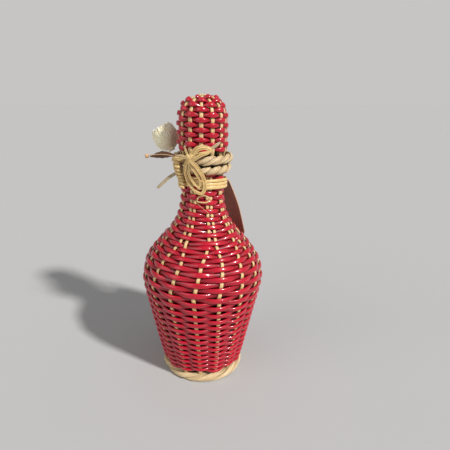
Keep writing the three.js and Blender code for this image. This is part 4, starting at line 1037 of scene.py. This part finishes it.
# The card: rings between the round hole and the rounded outline, the same on both faces, with a rounded rim;
# each ring is the straight mix of hole and outline. The card narrows to its top by a power of the height, and
# bows out by half a sine of it.
def tagShell():
    across, up, face = tagFrame(tagLean)
    corner, loop = tagSet["corner"], tagSet["loop"]
    size = np.array([tagSet["width"], tagSet["length"]]) / 2
    t = roundSteps(tagSet["sides"])
    ray = np.stack([np.cos(t), np.sin(t)], axis=-1)
    holeAt, middle = np.array([0, -loop]), np.array([0, tagSet["margin"] - loop - size[1]])
    start = holeAt - middle
    toEdge = np.abs((np.sign(ray) * size - start) / np.where(np.abs(ray) < 1e-6, 1e-6, ray))
    outline = start + ray * toEdge.min(axis=1, keepdims=True)
    excess = np.maximum(np.abs(outline) - (size - corner), 0)
    long = np.linalg.norm(excess, axis=1, keepdims=True)
    rounded = np.sign(outline) * (size - corner + excess / np.maximum(long, 1e-9) * corner)
    outline = np.where(long > corner, rounded, outline) + middle
    hole = holeAt + ray * tagSet["hole"]
    shares, rims, edges = (
        np.concatenate([tagSet[part], sign * np.array(tagSet[part][::-1])])[:, None, None]
        for part, sign in (("shares", 1), ("rims", -1), ("edges", 1)))
    flat = hole + (outline - hole) * shares
    hang = np.clip((tagSet["margin"] - loop - flat[..., 1:]) / tagSet["length"], 0, 1)
    narrow = 1 - tagSet["taper"] * np.clip(1 - hang / tagSet["taperReach"], 0, 1) ** tagSet["taperPower"]
    lift = rims * tagSet["thick"] / 2 + tagSet["bow"] * np.sin(math.pi * hang)
    points = tagCentre + across * flat[..., :1] * narrow + up * flat[..., 1:] + face * lift
    return asShell(points, True, edges[..., 0])


tagCard, tree, shader = newMaterial("tagCard")
spot = addNode(tree, "ShaderNodeTexCoord").outputs["Object"]
pulp, soft = noiseOf(tree, spot, 260.0, 5.0, 0.7), noiseOf(tree, spot, 38.0, 2.0)
card = mixColour(tree, pulp, srgb(142, 108, 92), srgb(184, 150, 132))
card = mixColour(tree, soft, card, srgb(162, 126, 110))
rimMask = addNode(tree, "ShaderNodeAttribute", attribute_name="tuck").outputs["Fac"]
setInputs(shader, {"Base Color": mixColour(tree, rimMask, card, srgb(208, 170, 140)),
                   "Roughness": mapRange(tree, pulp, 0.55, 0.75, "To"),
                   "Normal": bumpOf(tree, pulp, 0.25, 0.0004)})
addPiece("tagCard", tagShell(), tagCard, "tag", ["tag"])

# The string: two plies twist round a ring, half a turn apart
stringSet = {"twists": 22, "apart": 0.27, "ply": 0.62}
across, up, face = tagFrame(0)
t = roundSteps(160)
ringOut = tagOut * np.cos(t)[:, None] + up * np.sin(t)[:, None]
shells = []
for ply in (0, 1):
    spin = t * stringSet["twists"] + ply * math.pi
    reach, aside = tagSet["loop"] + stringSet["apart"] * np.cos(spin), stringSet["apart"] * np.sin(spin)
    line = tagCentre + ringOut * reach[:, None] + across * aside[:, None]
    shells.append(strand(line, ringOut, stringSet["ply"], stringSet["ply"], sides=8, closed=True))
addPiece("tagString", shells, tagString, "bottle", ["tag_loop"])
print("tag made")

# Floor and light. The camera sees the backdrop's colour; everything else is lit by the air's.
stageSet = {"size": 60.0, "floor": (0.5, 0.49, 0.48, 1), "air": (0.95, 0.97, 1.0, 1), "airStrength": 0.32}
floorMesh = bpy.data.meshes.new("floor")
half = stageSet["size"] / 2
corners = [(-half, -half, 0), (half, -half, 0), (half, half, 0), (-half, half, 0)]
floorMesh.from_pydata(corners, [], [(0, 1, 2, 3)])
floor = bpy.data.objects.new("floor", floorMesh)
bpy.context.scene.collection.objects.link(floor)
floorPaint, tree, shader = newMaterial("floorPaint")
setInputs(shader, {"Base Color": stageSet["floor"], "Roughness": 1.0, "Specular IOR Level": 0.0})
floorMesh.materials.append(floorPaint)

lightSet = {
    "key": {"from": (0.58, -0.5, 0.64), "softness": 5.0, "power": 3.5},
    "fill": {"from": (-0.75, -0.5, 0.45), "softness": 50.0, "power": 0.7},
}
for name, look in lightSet.items():
    lamp = bpy.data.lights.new(name, "SUN")
    lamp.angle = math.radians(look["softness"])
    lamp.energy = look["power"]
    lampObject = bpy.data.objects.new(name, lamp)
    x, y, z = look["from"]
    lampObject.rotation_euler = (math.atan2(math.hypot(x, y), z), 0, math.atan2(y, x) + math.pi / 2)
    bpy.context.scene.collection.objects.link(lampObject)
world = bpy.data.worlds.new("studio")
world.use_nodes = True
tree = world.node_tree
air = tree.nodes["Background"]
setInputs(air, {"Color": stageSet["air"], "Strength": stageSet["airStrength"]})
backdrop = addNode(tree, "ShaderNodeBackground", {"Color": srgb(198, 197, 196), "Strength": 1.0})
seen = addNode(tree, "ShaderNodeLightPath").outputs["Is Camera Ray"]
mixed = addNode(tree, "ShaderNodeMixShader", {0: seen, 1: air.outputs[0], 2: backdrop.outputs[0]})
setInputs(tree.nodes["World Output"], {"Surface": mixed.outputs[0]})
bpy.context.scene.world = world
bpy.context.scene.view_settings.view_transform = "Standard"
print("stage set")
